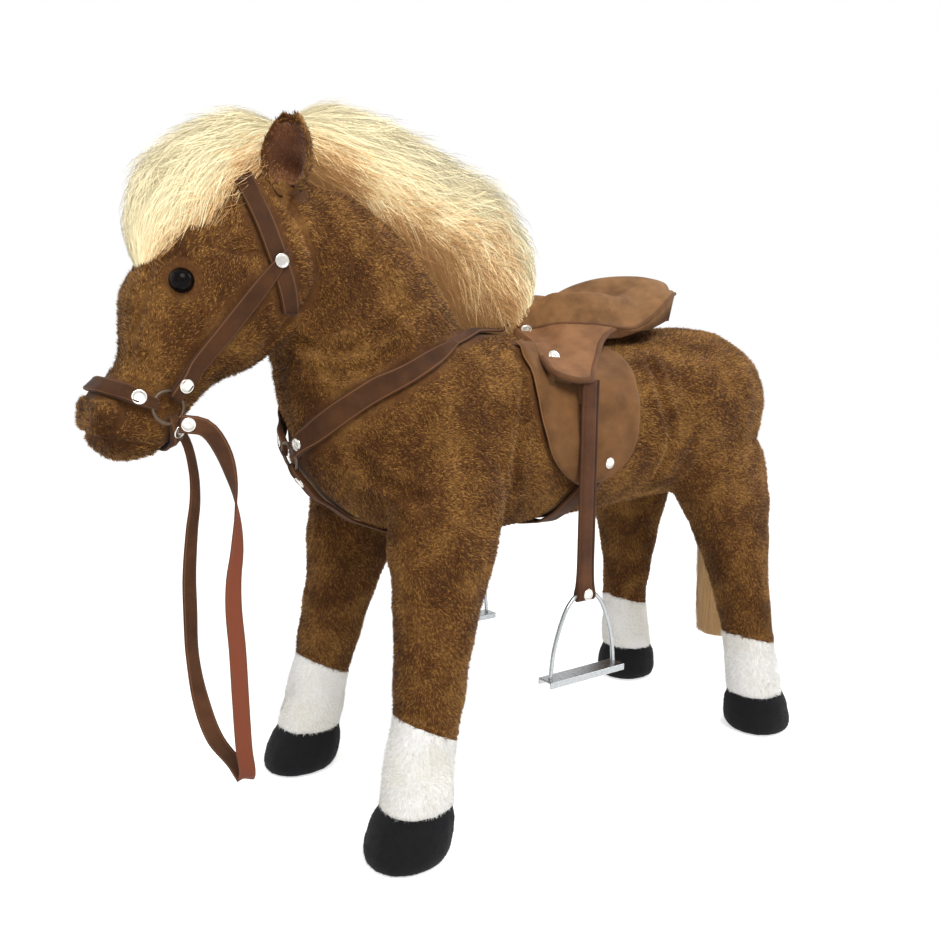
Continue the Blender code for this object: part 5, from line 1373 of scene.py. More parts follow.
@dataclass
class Coat:
    """The plush of the body, down to the socks and the padded hooves."""

    brown: tuple[str, ...] = (
        "torso", "neck", "head", "front_leg_left", "front_leg_right", "rear_leg_left", "rear_leg_right")
    voxel: float = 0.0034
    passes: int = 9
    inset: float = 0.0022
    pile: Pile = Pile(length=0.0034, width=0.00062, per_square=1_050_000)
    sock_pile: Pile = Pile(length=0.0034, width=0.00062, per_square=1_100_000, tuft=0.26)
    hoof_pile: Pile = Pile(length=0.0016, width=0.00055, per_square=900_000, lie=math.radians(60.0), tuft=0.15)
    skin: Item | None = None

    def prepare(self) -> Item:
        """The outside of the coat, which straps and saddle lie on."""
        feet = [f"{end}_{kind}_{side.word}" for end in ("front", "rear")
                for kind in ("sock", "hoof") for side in Side]
        self.skin = stuffed_skin("coat_skin", (*self.brown, *feet, "steel_frame", "seat_board"), self.voxel,
                                 self.passes)
        self.shape()
        return self.skin

    def shape(self) -> None:
        """Sew in the seams and folds and raise the brow and the nostrils."""
        places, normals, _ = triangles_of(self.skin)
        rises = np.zeros(len(places))
        for centre, radius, height in FACE_LUMPS:
            for side in Side:
                spot = np.array(side.place(centre))
                rises += height * np.exp(-(np.linalg.norm(places - spot, axis=1) / radius) ** 2)
        for line, width, depth in SEAM_LINES:
            for side in Side:
                path = np.array([tuple(side.place(point)) for point in line])
                rises -= 1.15 * depth * np.exp(-(distance_to_line(places, path) / width) ** 2)
        for line, width, depth in FOLD_LINES:
            for side in Side:
                path = np.array([tuple(side.place(point)) for point in line])
                away = distance_to_line(places, path)
                rises -= 2.1 * depth * np.exp(-(away / width) ** 2)
                rises += 1.1 * depth * np.exp(-((away - 2.0 * width) / (0.9 * width)) ** 2)
        rises += 0.0007 * ripple(places, 0.055, 5)[:, 0] * (places[:, 2] > 0.02)
        places += normals * rises[:, None]
        places[:, 2] = np.maximum(places[:, 2], 0.0)
        self.skin.data.vertices.foreach_set("co", places.astype(np.float32).ravel())
        self.skin.data.update()

    def build(self, covers: BVHTree) -> None:
        """Draw the skin in, part it by colour and grow the pile on it."""
        move_along_normals(self.skin, -self.inset)
        labels, names = self.regions()
        for number, (name, nodes) in enumerate(names):
            skin = self.part(name, labels == number)
            if number == 0:
                look = (BROWN_PLUSH, self.pile, self.comb, 11, covers)
            elif "sock" in name:
                look = (WHITE_PLUSH, self.sock_pile, combed(-UP), 40 + number, None)
            else:
                look = (BLACK_PLUSH, self.hoof_pile, combed(-UP), 60 + number, None)
            finish, pile, comb, seed, pressing = look
            settle(skin, finish.material(False), "pony", nodes)
            grow_pile(name.replace("backing", "pile"), skin, pile, comb, finish, seed, pressing,
                      self.open_roots)
        bpy.data.objects.remove(self.skin, do_unlink=True)

    def regions(self) -> tuple[Array, list[tuple[str, list[str]]]]:
        """Which plush each face of the skin is cut from."""
        mesh = self.skin.data
        centres = np.empty(len(mesh.polygons) * 3, np.float32)
        mesh.polygons.foreach_get("center", centres)
        centres = centres.reshape(-1, 3)
        names = [("coat_backing", list(self.brown))]
        labels = np.zeros(len(centres), int)
        for end in ("front", "rear"):
            for side in Side:
                low = np.flatnonzero((centres[:, 2] < 0.16) & (centres[:, 0] * side.value > 0)
                                     & ((centres[:, 1] > 0) == (end == "rear")))
                nodes = [f"{end}_{kind}_{side.word}" for kind in ("leg", "sock", "hoof")]
                trees = [surface_of(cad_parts[node]) for node in nodes]
                for index in low:
                    gaps = [tree.find_nearest(centres[index])[3] for tree in trees]
                    nearest = gaps.index(min(gaps))
                    labels[index] = 0 if nearest == 0 else len(names) + nearest - 1
                names += [(node + "_backing", [node]) for node in nodes[1:]]
        return labels, names

    def part(self, name: str, chosen: Array) -> Item:
        """A closed piece of the skin, from the chosen faces."""
        work = bmesh.new()
        work.from_mesh(self.skin.data)
        work.faces.ensure_lookup_table()
        bmesh.ops.delete(work, geom=[work.faces[index] for index in np.flatnonzero(~chosen)], context="FACES")
        rims = [edge for edge in work.edges if edge.is_boundary]
        rim_verts = {vert for edge in rims for vert in edge.verts}
        for _ in range(4):
            moves = {vert: sum((edge.other_vert(vert).co for edge in vert.link_edges if edge.is_boundary),
                               Vector()) / 2 for vert in rim_verts
                     if sum(edge.is_boundary for edge in vert.link_edges) == 2}
            for vert, place in moves.items():
                vert.co = vert.co.lerp(place, 0.5)
        bmesh.ops.holes_fill(work, edges=rims)
        work.normal_update()
        mesh = bpy.data.meshes.new(name)
        work.to_mesh(mesh)
        work.free()
        mesh.shade_smooth()
        item = bpy.data.objects.new(name, mesh)
        bpy.context.scene.collection.objects.link(item)
        return item

    @staticmethod
    def open_roots(roots: Array, looks: Array) -> Array:
        """Roots that don't stand on the floor or on the cut end of a leg."""
        bare = np.zeros(len(roots), bool)
        head = np.flatnonzero((roots[:, 1] < -0.19) & (roots[:, 2] > 0.34))
        flip = np.where(roots[head, :1] < 0, (-1.0, 1.0, 1.0), (1.0, 1.0, 1.0))
        # Along the head's seams no threads stand, so the cloth shows as a dark line; its darkness is the
        # backing's painted shade.
        for line, width, depth in SEAM_LINES:
            path = np.array(line) + np.array(STAND)
            for share in (0.0, 0.4, 0.8, 1.2):
                lifted = (roots[head] + looks[head] * (0.0022 + depth * share)) * flip
                bare[head] |= distance_to_line(lifted, path) < 0.42 * width
        low = roots[:, 2] < 0.15
        ends = low & ((looks[:, 2] < -0.72) | (looks[:, 2] > 0.80))
        return ~ends & ~bare & (roots[:, 2] > 0.0015)

    @staticmethod
    def comb(places: Array) -> Array:
        """The way the coat is combed: from the nose back and down the legs."""
        x, y, z = (places - np.array(STAND)).T
        leg = soft(-z, -0.28, -0.22)
        neck = soft(-y, 0.12, 0.18) * soft(z, 0.39, 0.45)
        head = soft(-y, 0.295, 0.325) * soft(z, 0.34, 0.40)
        side = np.sign(x) * 0.5
        ways = np.stack([side, np.ones_like(y), -0.45 * np.ones_like(y)], 1)
        for share, way in ((neck, (0.0, 0.50, -0.87)), (head, (0.0, 0.68, 0.73)), (leg, (0.0, 0.08, -1.0))):
            ways = ways * (1 - share[:, None]) + np.array(way) * share[:, None]
        return ways


# Ears and eyes

@dataclass
class Head:
    """Ears with their linings, and the eyes."""

    surface: BVHTree
    ear_base: Colour = (0.042, -0.3185, 0.5730)
    ear_length: float = 0.0520
    ear_sunk: float = 0.012
    ear_width: float = 0.0455
    ear_cup: float = 0.015
    ear_thickness: float = 0.0120
    pocket_depth: float = 0.0112
    ear_outward: float = 0.10
    ear_turn: float = 0.85
    lining_reach: float = 0.80
    eye_place: Colour = (0.045, -0.4106, 0.4901)
    eye_radius: float = 0.0096
    eye_sunk: float = 0.0022
    shares: Points = (
        (0.00, 0.20), (0.14, 0.58), (0.30, 0.90), (0.46, 1.00), (0.62, 0.93), (0.78, 0.74), (0.90, 0.50),
        (1.00, 0.20))
    shell_pile: Pile = Pile(length=0.0034, width=0.0008, per_square=700_000, lie=math.radians(58.0))
    lining_pile: Pile = Pile(length=0.0022, width=0.0007, per_square=800_000, lie=math.radians(58.0))

    def build(self) -> list[Item]:
        """Make both ears and both eyes."""
        made = []
        for side in Side:
            made += [self.ear(side), self.lining(side), self.eye(side)]
        return made

    def leaf(self, side: Side, rows: int, columns: int, first: float, last: float, reach: float,
             forward: Callable[[float, float], float]) -> list[list[Vector]]:
        """A cupped leaf of points, pushed forward by a given amount."""
        base = side.place(self.ear_base)
        rise = Vector((side.value * self.ear_outward, 0.0, 1.0)).normalized()
        facing = Vector((side.value * self.ear_turn, -1.0, 0.0)).normalized()
        across = rise.cross(facing).normalized()
        facing = across.cross(rise).normalized()
        places, halves = zip(*self.shares)
        grid = []
        for r in range(rows + 1):
            along = first + (last - first) * r / rows
            half = self.ear_width / 2 * blend_value(places, halves, along) * reach
            height = along * (self.ear_length + self.ear_sunk) - self.ear_sunk
            line = []
            for c in range(columns + 1):
                over = -math.cos(math.pi * c / columns)
                cup = self.ear_cup * (over * reach) ** 2 * (1.0 - along * along / 2)
                lean = facing * (cup + forward(over, along))
                line.append(base + rise * height + across * half * over + lean)
            grid.append(line)
        return grid

    def ear(self, side: Side) -> Item:
        """The cupped plush shell of one ear, with its pile."""
        def back(over: float, along: float) -> float:
            return -self.ear_thickness * math.sqrt(max(1.0 - over * over, 0.0)) - self.shell_pile.length * 0.25

        def front(over: float, along: float) -> float:
            rim = 0.0030 * math.exp(-((abs(over) - 0.90) / 0.09) ** 2)
            return rim + self.pocket(over * 0.93, along) - self.shell_pile.length * 0.25

        name = f"ear_{side.word}"
        outer = self.leaf(side, 26, 22, 0.0, 0.985, 0.93, back)
        inner = self.leaf(side, 26, 22, 0.0, 0.985, 0.93, front)
        shell = new_piece(name + "_backing", slab(name, outer, inner), BROWN_PLUSH.material(False), "pony",
                          [name])
        base = np.array(side.place(self.ear_base))
        facing = unit(np.array((side.value * self.ear_turn, -1.0, 0.0)))

        def keep(roots: Array, looks: Array) -> Array:
            inside = (looks @ facing > 0.55)
            middle = np.linalg.norm((roots - base)[:, :2], axis=1) < self.ear_width * 0.34
            lined = inside & middle & (roots[:, 2] < base[2] + self.ear_length * 0.76)
            return ~lined & (roots[:, 2] > base[2] - 0.008)

        grow_pile(name + "_pile", shell, self.shell_pile, combed(UP), BROWN_PLUSH, 70 + side.value, keep=keep)
        return shell

    def lining(self, side: Side) -> Item:
        """The dark lining in the cup of one ear."""
        name = f"ear_lining_{side.word}"
        reach = self.lining_reach
        outer = self.leaf(side, 24, 16, 0.14, 0.86, reach,
                          lambda over, along: 0.0012 + self.pocket(over * reach, along))
        inner = self.leaf(side, 24, 16, 0.14, 0.86, reach,
                          lambda over, along: self.pocket(over * reach, along) - 0.0006)
        piece = new_piece(name + "_cloth", slab(name, outer, inner), LINING_PLUSH.material(False), "pony",
                          [name])
        grow_pile(name + "_pile", piece, self.lining_pile, combed(UP), LINING_PLUSH, 80 + side.value)
        return piece

    def pocket(self, over: float, along: float) -> float:
        """How far the cup of the ear sinks in by its root."""
        return -self.pocket_depth * math.exp(-((along - 0.32) / 0.15) ** 2) * max(1.0 - over * over / 0.5, 0.0)

    def eye(self, side: Side) -> Item:
        """One round glossy eye."""
        place, look = self.surface.find_nearest(side.place(self.eye_place))[:2]
        bpy.ops.object.select_all(action="DESELECT")
        bpy.ops.mesh.primitive_uv_sphere_add(segments=48, ring_count=24, radius=self.eye_radius)
        item = bpy.context.active_object
        item.name = f"eye_{side.word}_ball"
        item.data.transform(Matrix.Translation(place - look * self.eye_sunk))
        item.data.shade_smooth()
        return settle(item, EYE_PLASTIC.material(), "pony", [f"eye_{side.word}"])


# Bridle

@dataclass
class Bridle:
    """Rings, noseband, chin strap, crown strap and cheek straps."""

    maker: StrapMaker
    width: float = 0.0150
    chin_width: float = 0.0125
    rivet_end_in: float = 0.0080
    bit_ring: Colour = (0.042, -0.4218, 0.3945)
    nose: Points = ((0.040, -0.4389, 0.3979), (0.030, -0.4560, 0.4050), (0.000, -0.4660, 0.4080))
    cheek: Points = ((0.051, -0.3325, 0.5150), (0.050, -0.3377, 0.5079), (0.046, -0.3740, 0.4590),
                     (0.041, -0.4099, 0.4096))
    chin: Points = ((0.036, -0.4150, 0.3745), (0.022, -0.4080, 0.3560), (0.000, -0.4040, 0.3500))
    crown: Points = ((0.000, -0.3640, 0.6100), (0.030, -0.3620, 0.5930), (0.046, -0.3530, 0.5560),
                     (0.050, -0.3377, 0.5079), (0.047, -0.3251, 0.4629), (0.028, -0.3150, 0.4350),
                     (0.000, -0.3120, 0.4260))
    tuck_below: float = 0.468
    tuck: float = 0.85
    narrowing: float = 7.0
    narrowest: float = 0.7

    def build(self) -> list[Item]:
        """Make every strap, ring and rivet of the bridle."""
        maker = self.maker
        finish = STRAP_SUEDE.material()
        place = maker.surface.find_nearest(Side.LEFT.place(self.bit_ring))[0]
        made = [wire_ring(f"bit_ring_{side.word}") for side in Side]
        for name, route, width in (
            ("noseband", self.nose, self.width),
            ("chin_strap", self.chin, self.chin_width),
        ):
            made += maker.lay(
                name, out_of_both(place, there_and_back(route)), width, finish, lifts=(maker.ring_lift,) * 2,
                folds=(maker.fold,) * 2, rivets=(maker.rivet_in,) * 2, ends=(StrapEnd.TAPERED,) * 2)
        mesh = maker.strap("crown_strap", there_and_back(self.crown)[:-1], self.width, closed=True)
        for vertex in mesh.vertices:
            under = max(self.tuck_below - vertex.co.z, 0.0)
            vertex.co.z += self.tuck * under
            vertex.co.x *= max(1.0 - self.narrowing * under, self.narrowest)
        made.append(new_piece("crown_strap_loop", mesh, finish, "pony", ["crown_strap"]))
        for side in Side:
            centre = place if side is Side.LEFT else Vector((-place.x, place.y, place.z))
            route = [side.place(point) for point in self.cheek]
            made += maker.lay(
                f"cheek_strap_{side.word}", out_of_ring(centre, route[::-1])[::-1], self.width, finish,
                lifts=(maker.over_lift, maker.ring_lift), folds=(0.0, maker.fold),
                rivets=(self.rivet_end_in, maker.rivet_in), ends=(StrapEnd.ROUND, StrapEnd.TAPERED))
        return made


@dataclass
class Harness:
    """Chest ring, breast straps, ties, lower strap and girth."""

    maker: StrapMaker
    breast_width: float = 0.0225
    tie_width: float = 0.0100
    lower_width: float = 0.0150
    girth_width: float = 0.0280
    girth_lap: float = 0.044
    saddle_step: float = 0.0090
    chest_ring: Colour = (0.000, -0.3010, 0.3465)
    breast: Points = ((0.028, -0.3014, 0.3642), (0.068, -0.2785, 0.3941), (0.082, -0.2390, 0.4173),
                      (0.064, -0.1733, 0.4440))
    tie: Points = ((0.066, -0.1850, 0.4420), (0.060, -0.1650, 0.4440), (0.034, -0.1233, 0.4570),
                   (0.014, -0.0700, 0.4625), (0.010, -0.0570, 0.4640))
    lower: Points = ((0.000, -0.3000, 0.3279), (0.000, -0.2896, 0.3141), (0.000, -0.2550, 0.2748),
                     (0.000, -0.1700, 0.2600), (0.000, -0.0900, 0.2600), (0.000, -0.0200, 0.2600))
    girth: Points = ((0.097, -0.0180, 0.3420), (0.094, -0.0250, 0.3100), (0.070, -0.0420, 0.2720),
                     (0.000, -0.0460, 0.2600))

    def build(self) -> list[Item]:
        """Make every strap, ring and rivet of the harness."""
        maker = self.maker
        finish = STRAP_SUEDE.material()
        place = maker.surface.find_nearest(Side.LEFT.place(self.chest_ring))[0]
        held = {"lifts": (maker.ring_lift, maker.over_lift), "folds": (maker.fold, 0.0),
                "rivets": (maker.rivet_in, 0.0), "ends": (StrapEnd.TAPERED, StrapEnd.ROUND)}
        made = [wire_ring("chest_ring")]
        for side in Side:
            made += maker.lay(
                f"saddle_tie_{side.word}", [side.place(point) for point in self.tie], self.tie_width, finish,
                lifts=(0.0, self.saddle_step), ends=(StrapEnd.SQUARE, StrapEnd.ROUND))
            route = out_of_ring(place, [side.place(point) for point in self.breast])
            made += maker.lay(f"breast_strap_{side.word}", route, self.breast_width, finish, **held)
        route = out_of_ring(place, [Side.LEFT.place(point) for point in self.lower])
        made += maker.lay("breast_strap_lower", route, self.lower_width, finish, lap=self.girth_lap, **held)
        return made + maker.lay("girth", there_and_back(self.girth), self.girth_width, finish)


# Saddle

@dataclass
class Saddle:
    """Skirt, seat, flaps and hangers."""

    surface: BVHTree
    front_y: float = -0.064
    length: float = 0.246
    ridge_z: float = 0.4620
    rear_rise: float = 0.030
    span: float = 0.110
    drop: float = 0.046
    curve: float = 1.6
    thickness: float = 0.0040
    binding_width: float = 0.0070
    binding_rise: float = 0.0012
    piping: float = 0.0018
    flap_front_y: float = -0.101
    flap_length: float = 0.132
    flap_drop: float = 0.1170
    flap_thickness: float = 0.0026
    flap_top_z: float = 0.4300
    flap_rivet: Colour = (0.103, -0.0110, 0.3320)
    skirt_rivets: Points = ((0.0775, -0.0655, 0.4400), (0.0255, -0.0575, 0.4600))
    skirt_shares: Points = (
        (0.00, 0.00, 0.95), (0.25, -0.01, 0.87), (0.40, -0.02, 0.62), (0.48, -0.03, 0.46), (0.60, -0.05, 0.31),
        (0.74, -0.08, 0.22), (0.88, -0.09, 0.14), (0.96, -0.05, 0.10), (1.00, 0.00, 0.08))
    lifts: Points = (
        (-0.064, 0.0030), (-0.049, 0.0068), (-0.033, 0.0163), (-0.009, 0.0210), (0.023, 0.0220),
        (0.064, 0.0110), (0.097, 0.0030), (0.200, 0.0010))
    seat_table: Points = (
        (-0.0640, 0.0120, 0.4640, 0.4700, 0.0030), (-0.0500, 0.0270, 0.4636, 0.4760, 0.0110),
        (-0.0330, 0.0410, 0.4680, 0.4829, 0.0160), (-0.0160, 0.0490, 0.4690, 0.4910, 0.0150),
        (0.0190, 0.0560, 0.4680, 0.5080, 0.0120), (0.0490, 0.0590, 0.4650, 0.5175, 0.0080),
        (0.0800, 0.0590, 0.4650, 0.5231, 0.0030), (0.1120, 0.0549, 0.4710, 0.5255, 0.0000),
        (0.1300, 0.0483, 0.4790, 0.5245, 0.0000), (0.1420, 0.0414, 0.4830, 0.5230, 0.0000),
        (0.1520, 0.0331, 0.4850, 0.5210, 0.0000), (0.1590, 0.0247, 0.4865, 0.5185, 0.0000),
        (0.1640, 0.0154, 0.4860, 0.5160, 0.0000), (0.1670, 0.0060, 0.4850, 0.5140, 0.0000))
    rim_start: float = 0.045
    rim_span: float = 0.130
    rim_drop: float = 0.0125
    flap_shares: Points = (
        (-0.16, 0.03, 1.00), (0.00, 0.00, 1.04), (0.21, 0.00, 1.03), (0.57, 0.06, 0.99), (0.74, 0.12, 0.94),
        (0.88, 0.24, 0.84), (1.00, 0.42, 0.66))

    def build(self) -> list[Item]:
        """Make the saddle's pieces."""
        made = [self.skirt(), self.seat()]
        for side in Side:
            made += self.flap(side)
        return made

    def height(self, across: float, along: float) -> float:
        """Height of the skirt's upper face."""
        fall = self.drop * abs(across) ** self.curve
        places, lifts = zip(*self.lifts)
        y = self.front_y + self.length * along
        half = blend_value([row[0] for row in self.seat_table], [row[1] for row in self.seat_table], y)
        beyond = max(abs(across) * self.span - half, 0.0) / (self.span - half)
        lift = blend_value(places, lifts, y) * max(1.0 - beyond, 0.0) ** 1.3
        crease = 0.0012 * math.sin(9.0 * math.atan2(abs(across) * self.span - 0.079, y + 0.071)) * (
            math.exp(-((beyond - 0.45) / 0.30) ** 2) * smooth_step(beyond * 6))
        return self.ridge_z - fall + self.rear_rise * smooth_step((along - 0.32) / 0.5) + lift + crease

    def skirt_point(self, across: float, share: float) -> Vector:
        """A place on the skirt, by its shares across and along."""
        places, front, rear = zip(*self.skirt_shares)
        start = blend_value(places, front, abs(across))
        end = blend_value(places, rear, abs(across))
        along = start + (end - start) * share
        return Vector((across * self.span, self.front_y + self.length * along,
                       self.height(across, max(along, 0.0)))) + STAND

    def skirt(self) -> Item:
        """The roof-shaped padded skirt with its bound edge."""
        rows, columns = 34, 72
        outer, inner = [], []
        for r in range(rows + 1):
            outer.append([])
            inner.append([])
            for c in range(columns + 1):
                across = -math.cos(math.pi * c / columns)
                place = self.skirt_point(across, 0.5 - 0.5 * math.cos(math.pi * r / rows))
                padding = self.thickness + 0.012 * (1.0 - smooth_step((abs(across) - 0.45) / 0.35)) * (
                    1.0 - smooth_step((r / rows - 0.72) / 0.25))
                outer[r].append(place)
                inner[r].append(place - Vector((0.0, 0.0, padding)))
        mesh = slab("skirt", outer, inner)
        piece = new_piece("saddle_skirt_panel", mesh, SADDLE_SUEDE.material(), "pony",
                          ["saddle_skirt"])
        self.bind("saddle_skirt_binding", outer, inner)
        top, foot = [], []
        for r in range(rows + 1):
            top.append([])
            foot.append([])
            for c in range(columns + 1):
                across = -0.955 * math.cos(math.pi * c / columns)
                place = self.skirt_point(across, 0.04 + 0.56 * r / rows)
                place = place - Vector((0.0, 0.0, self.thickness / 2))
                hit = self.surface.ray_cast(place, -UP, 0.024)[0]
                top[r].append(place)
                foot[r].append(hit or place - Vector((0.0, 0.0, 0.0015)))
        new_piece("saddle_skirt_lining", slab("lining", top, foot), FLAP_SUEDE.material(), "pony")
        for side in Side:
            for number, spot in enumerate(self.skirt_rivets):
                above = side.place(spot) + Vector((0.0, 0.0, 0.03))
                seat = surface_of(piece).ray_cast(above, -UP)
                look = (seat[1] + Vector((side.value * 0.5, -0.4, 0.0))).normalized()
                cap_rivet(f"saddle_rivet_{side.word}_{number}", seat[0] + look * 0.0008, look)
        return piece

    def bind(self, name: str, outer: list, inner: list) -> Item:
        """The strip folded round the skirt's edge."""
        last_row, last_column = len(outer) - 1, len(outer[0]) - 1
        walk = [(0, c) for c in range(last_column)] + [(r, last_column) for r in range(last_row)]
        walk += [(last_row, c) for c in range(last_column, 0, -1)] + [(r, 0) for r in range(last_row, 0, -1)]
        edge = [(outer[r][c] * 0.5 + inner[r][c] * 0.5, outer[r][c]) for r, c in walk]
        middle = sum((point for point, _ in edge), Vector()) / len(edge)
        rounded = smooth_loop([point for point, _ in edge], 0.004)
        rings = []
        count = len(rounded)
        for index, place in enumerate(rounded):
            along = (rounded[(index + 1) % count] - rounded[index - 1]).normalized()
            up = UP
            out = along.cross(up).normalized()
            if out.dot(place - middle) < 0:
                out = -out
            up = out.cross(along).normalized()
            up = up if up.z > 0 else -up
            ring = []
            for k in range(14):
                turn = 2 * math.pi * k / 14
                wide = self.binding_width / 2 * math.cos(turn)
                tall = (self.thickness / 2 + self.binding_rise) * math.copysign(
                    abs(math.sin(turn)) ** 0.6, math.sin(turn))
                ring.append(place + out * (wide - self.binding_width * 0.28) + up * tall)
            rings.append(ring)
        return new_piece(name, loft(name, rings, True), BINDING_SUEDE.material(), "pony")

    def seat(self) -> Item:
        """The stuffed seat: a front roll down each side and a rear cushion with a corded rim."""
        spots, halves, feet, crowns, rolls = zip(*self.seat_table)
        rows, columns = 72, 64
        top, bottom, rim = [], [], []
        for r in range(rows + 1):
            top.append([])
            bottom.append([])
            y = spots[0] + (spots[-1] - spots[0]) * (0.5 - 0.5 * math.cos(math.pi * r / rows))
            half, foot, crown, roll = (
                blend_value(spots, column, y) for column in (halves, feet, crowns, rolls))
            rear = smooth_step((y - self.rim_start) / self.rim_span)
            edge = foot + (crown - self.rim_drop * smooth_step(half / 0.03) - foot) * rear
            power = 1.7 + 1.4 * rear
            along = (y - self.front_y) / self.length
            for c in range(columns + 1):
                over = -math.cos(math.pi * c / columns)
                across = abs(over)
                z = edge + (crown - edge) * (1.0 - across ** power)
                z += 1.55 * roll * math.exp(-((across - 0.77) / 0.16) ** 2) * smooth_step((1.0 - across) / 0.10)
                z -= 1.15 * roll * math.exp(-((across - 0.40) / 0.17) ** 2)
                z -= 0.0045 * rear * math.exp(-((across - 0.78) / 0.10) ** 2)
                x = over * half
                top[r].append(Vector((x, y, z)) + STAND)
                tuck = 1.0 - 0.14 * rear * across ** 6
                floor = min(self.height(x / self.span, along) - 0.004, z - 0.001)
                back = 0.006 * smooth_step((y - 0.115) / 0.062)
                floor -= 0.007 * smooth_step((y - 0.115) / 0.050)
                bottom[r].append(Vector((x * tuck, y - back, floor)) + STAND)
            rim.append((top[r][0], top[r][-1]))
        piece = new_piece("saddle_seat_cushion", slab("seat", top, bottom), SEAT_SUEDE.material(), "pony",
                          ["saddle_seat"])
        route = smooth_loop([pair[0] for pair in rim] + [pair[1] for pair in rim[::-1]], 0.004)
        new_piece("saddle_seat_piping", tube("piping", route, self.piping, 10, True), BINDING_SUEDE.material(),
                  "pony")
        return piece

    def flap(self, side: Side) -> list[Item]:
        """One flap that hangs down the pony's side, with its rivet."""
        places, front, rear = zip(*self.flap_shares)
        rows, columns = 34, 26
        outer, inner = [], []
        for r in range(rows + 1):
            share = places[0] + (1.0 - places[0]) * r / rows
            start, end = blend_value(places, front, share), blend_value(places, rear, share)
            outer.append([])
            inner.append([])
            for c in range(columns + 1):
                over = 0.5 - 0.5 * math.cos(math.pi * c / columns)
                y = self.flap_front_y + self.flap_length * (start + (end - start) * over)
                beyond = Vector((side.value * CAST_REACH, y, self.flap_top_z - self.flap_drop * share)) + STAND
                place, look = self.surface.ray_cast(beyond, Vector((-side.value, 0.0, 0.0)))[:2]
                look = (look + Vector((side.value, 0.0, 0.0))).normalized()
                rise = STANDOFF + 0.0030 * smooth_step((share - 0.42) / 0.25)
                edge = min(over, 1.0 - over, 1.0 - share) * 26
                body = self.flap_thickness * (0.35 + 0.65 * smooth_step(edge * 2)) + 0.0005 * math.exp(
                    -((edge - 1.4) / 0.7) ** 2)
                inner[r].append(place + look * rise)
                outer[r].append(place + look * (rise + body))
        name = f"saddle_flap_{side.word}"
        piece = new_piece(name + "_panel", slab(name, outer, inner), FLAP_SUEDE.material(), "pony",
                          [name])
        seat = surface_of(piece).find_nearest(side.place(self.flap_rivet))
        return [piece, cap_rivet(name + "_rivet", seat[0], seat[1])]


# Stirrups

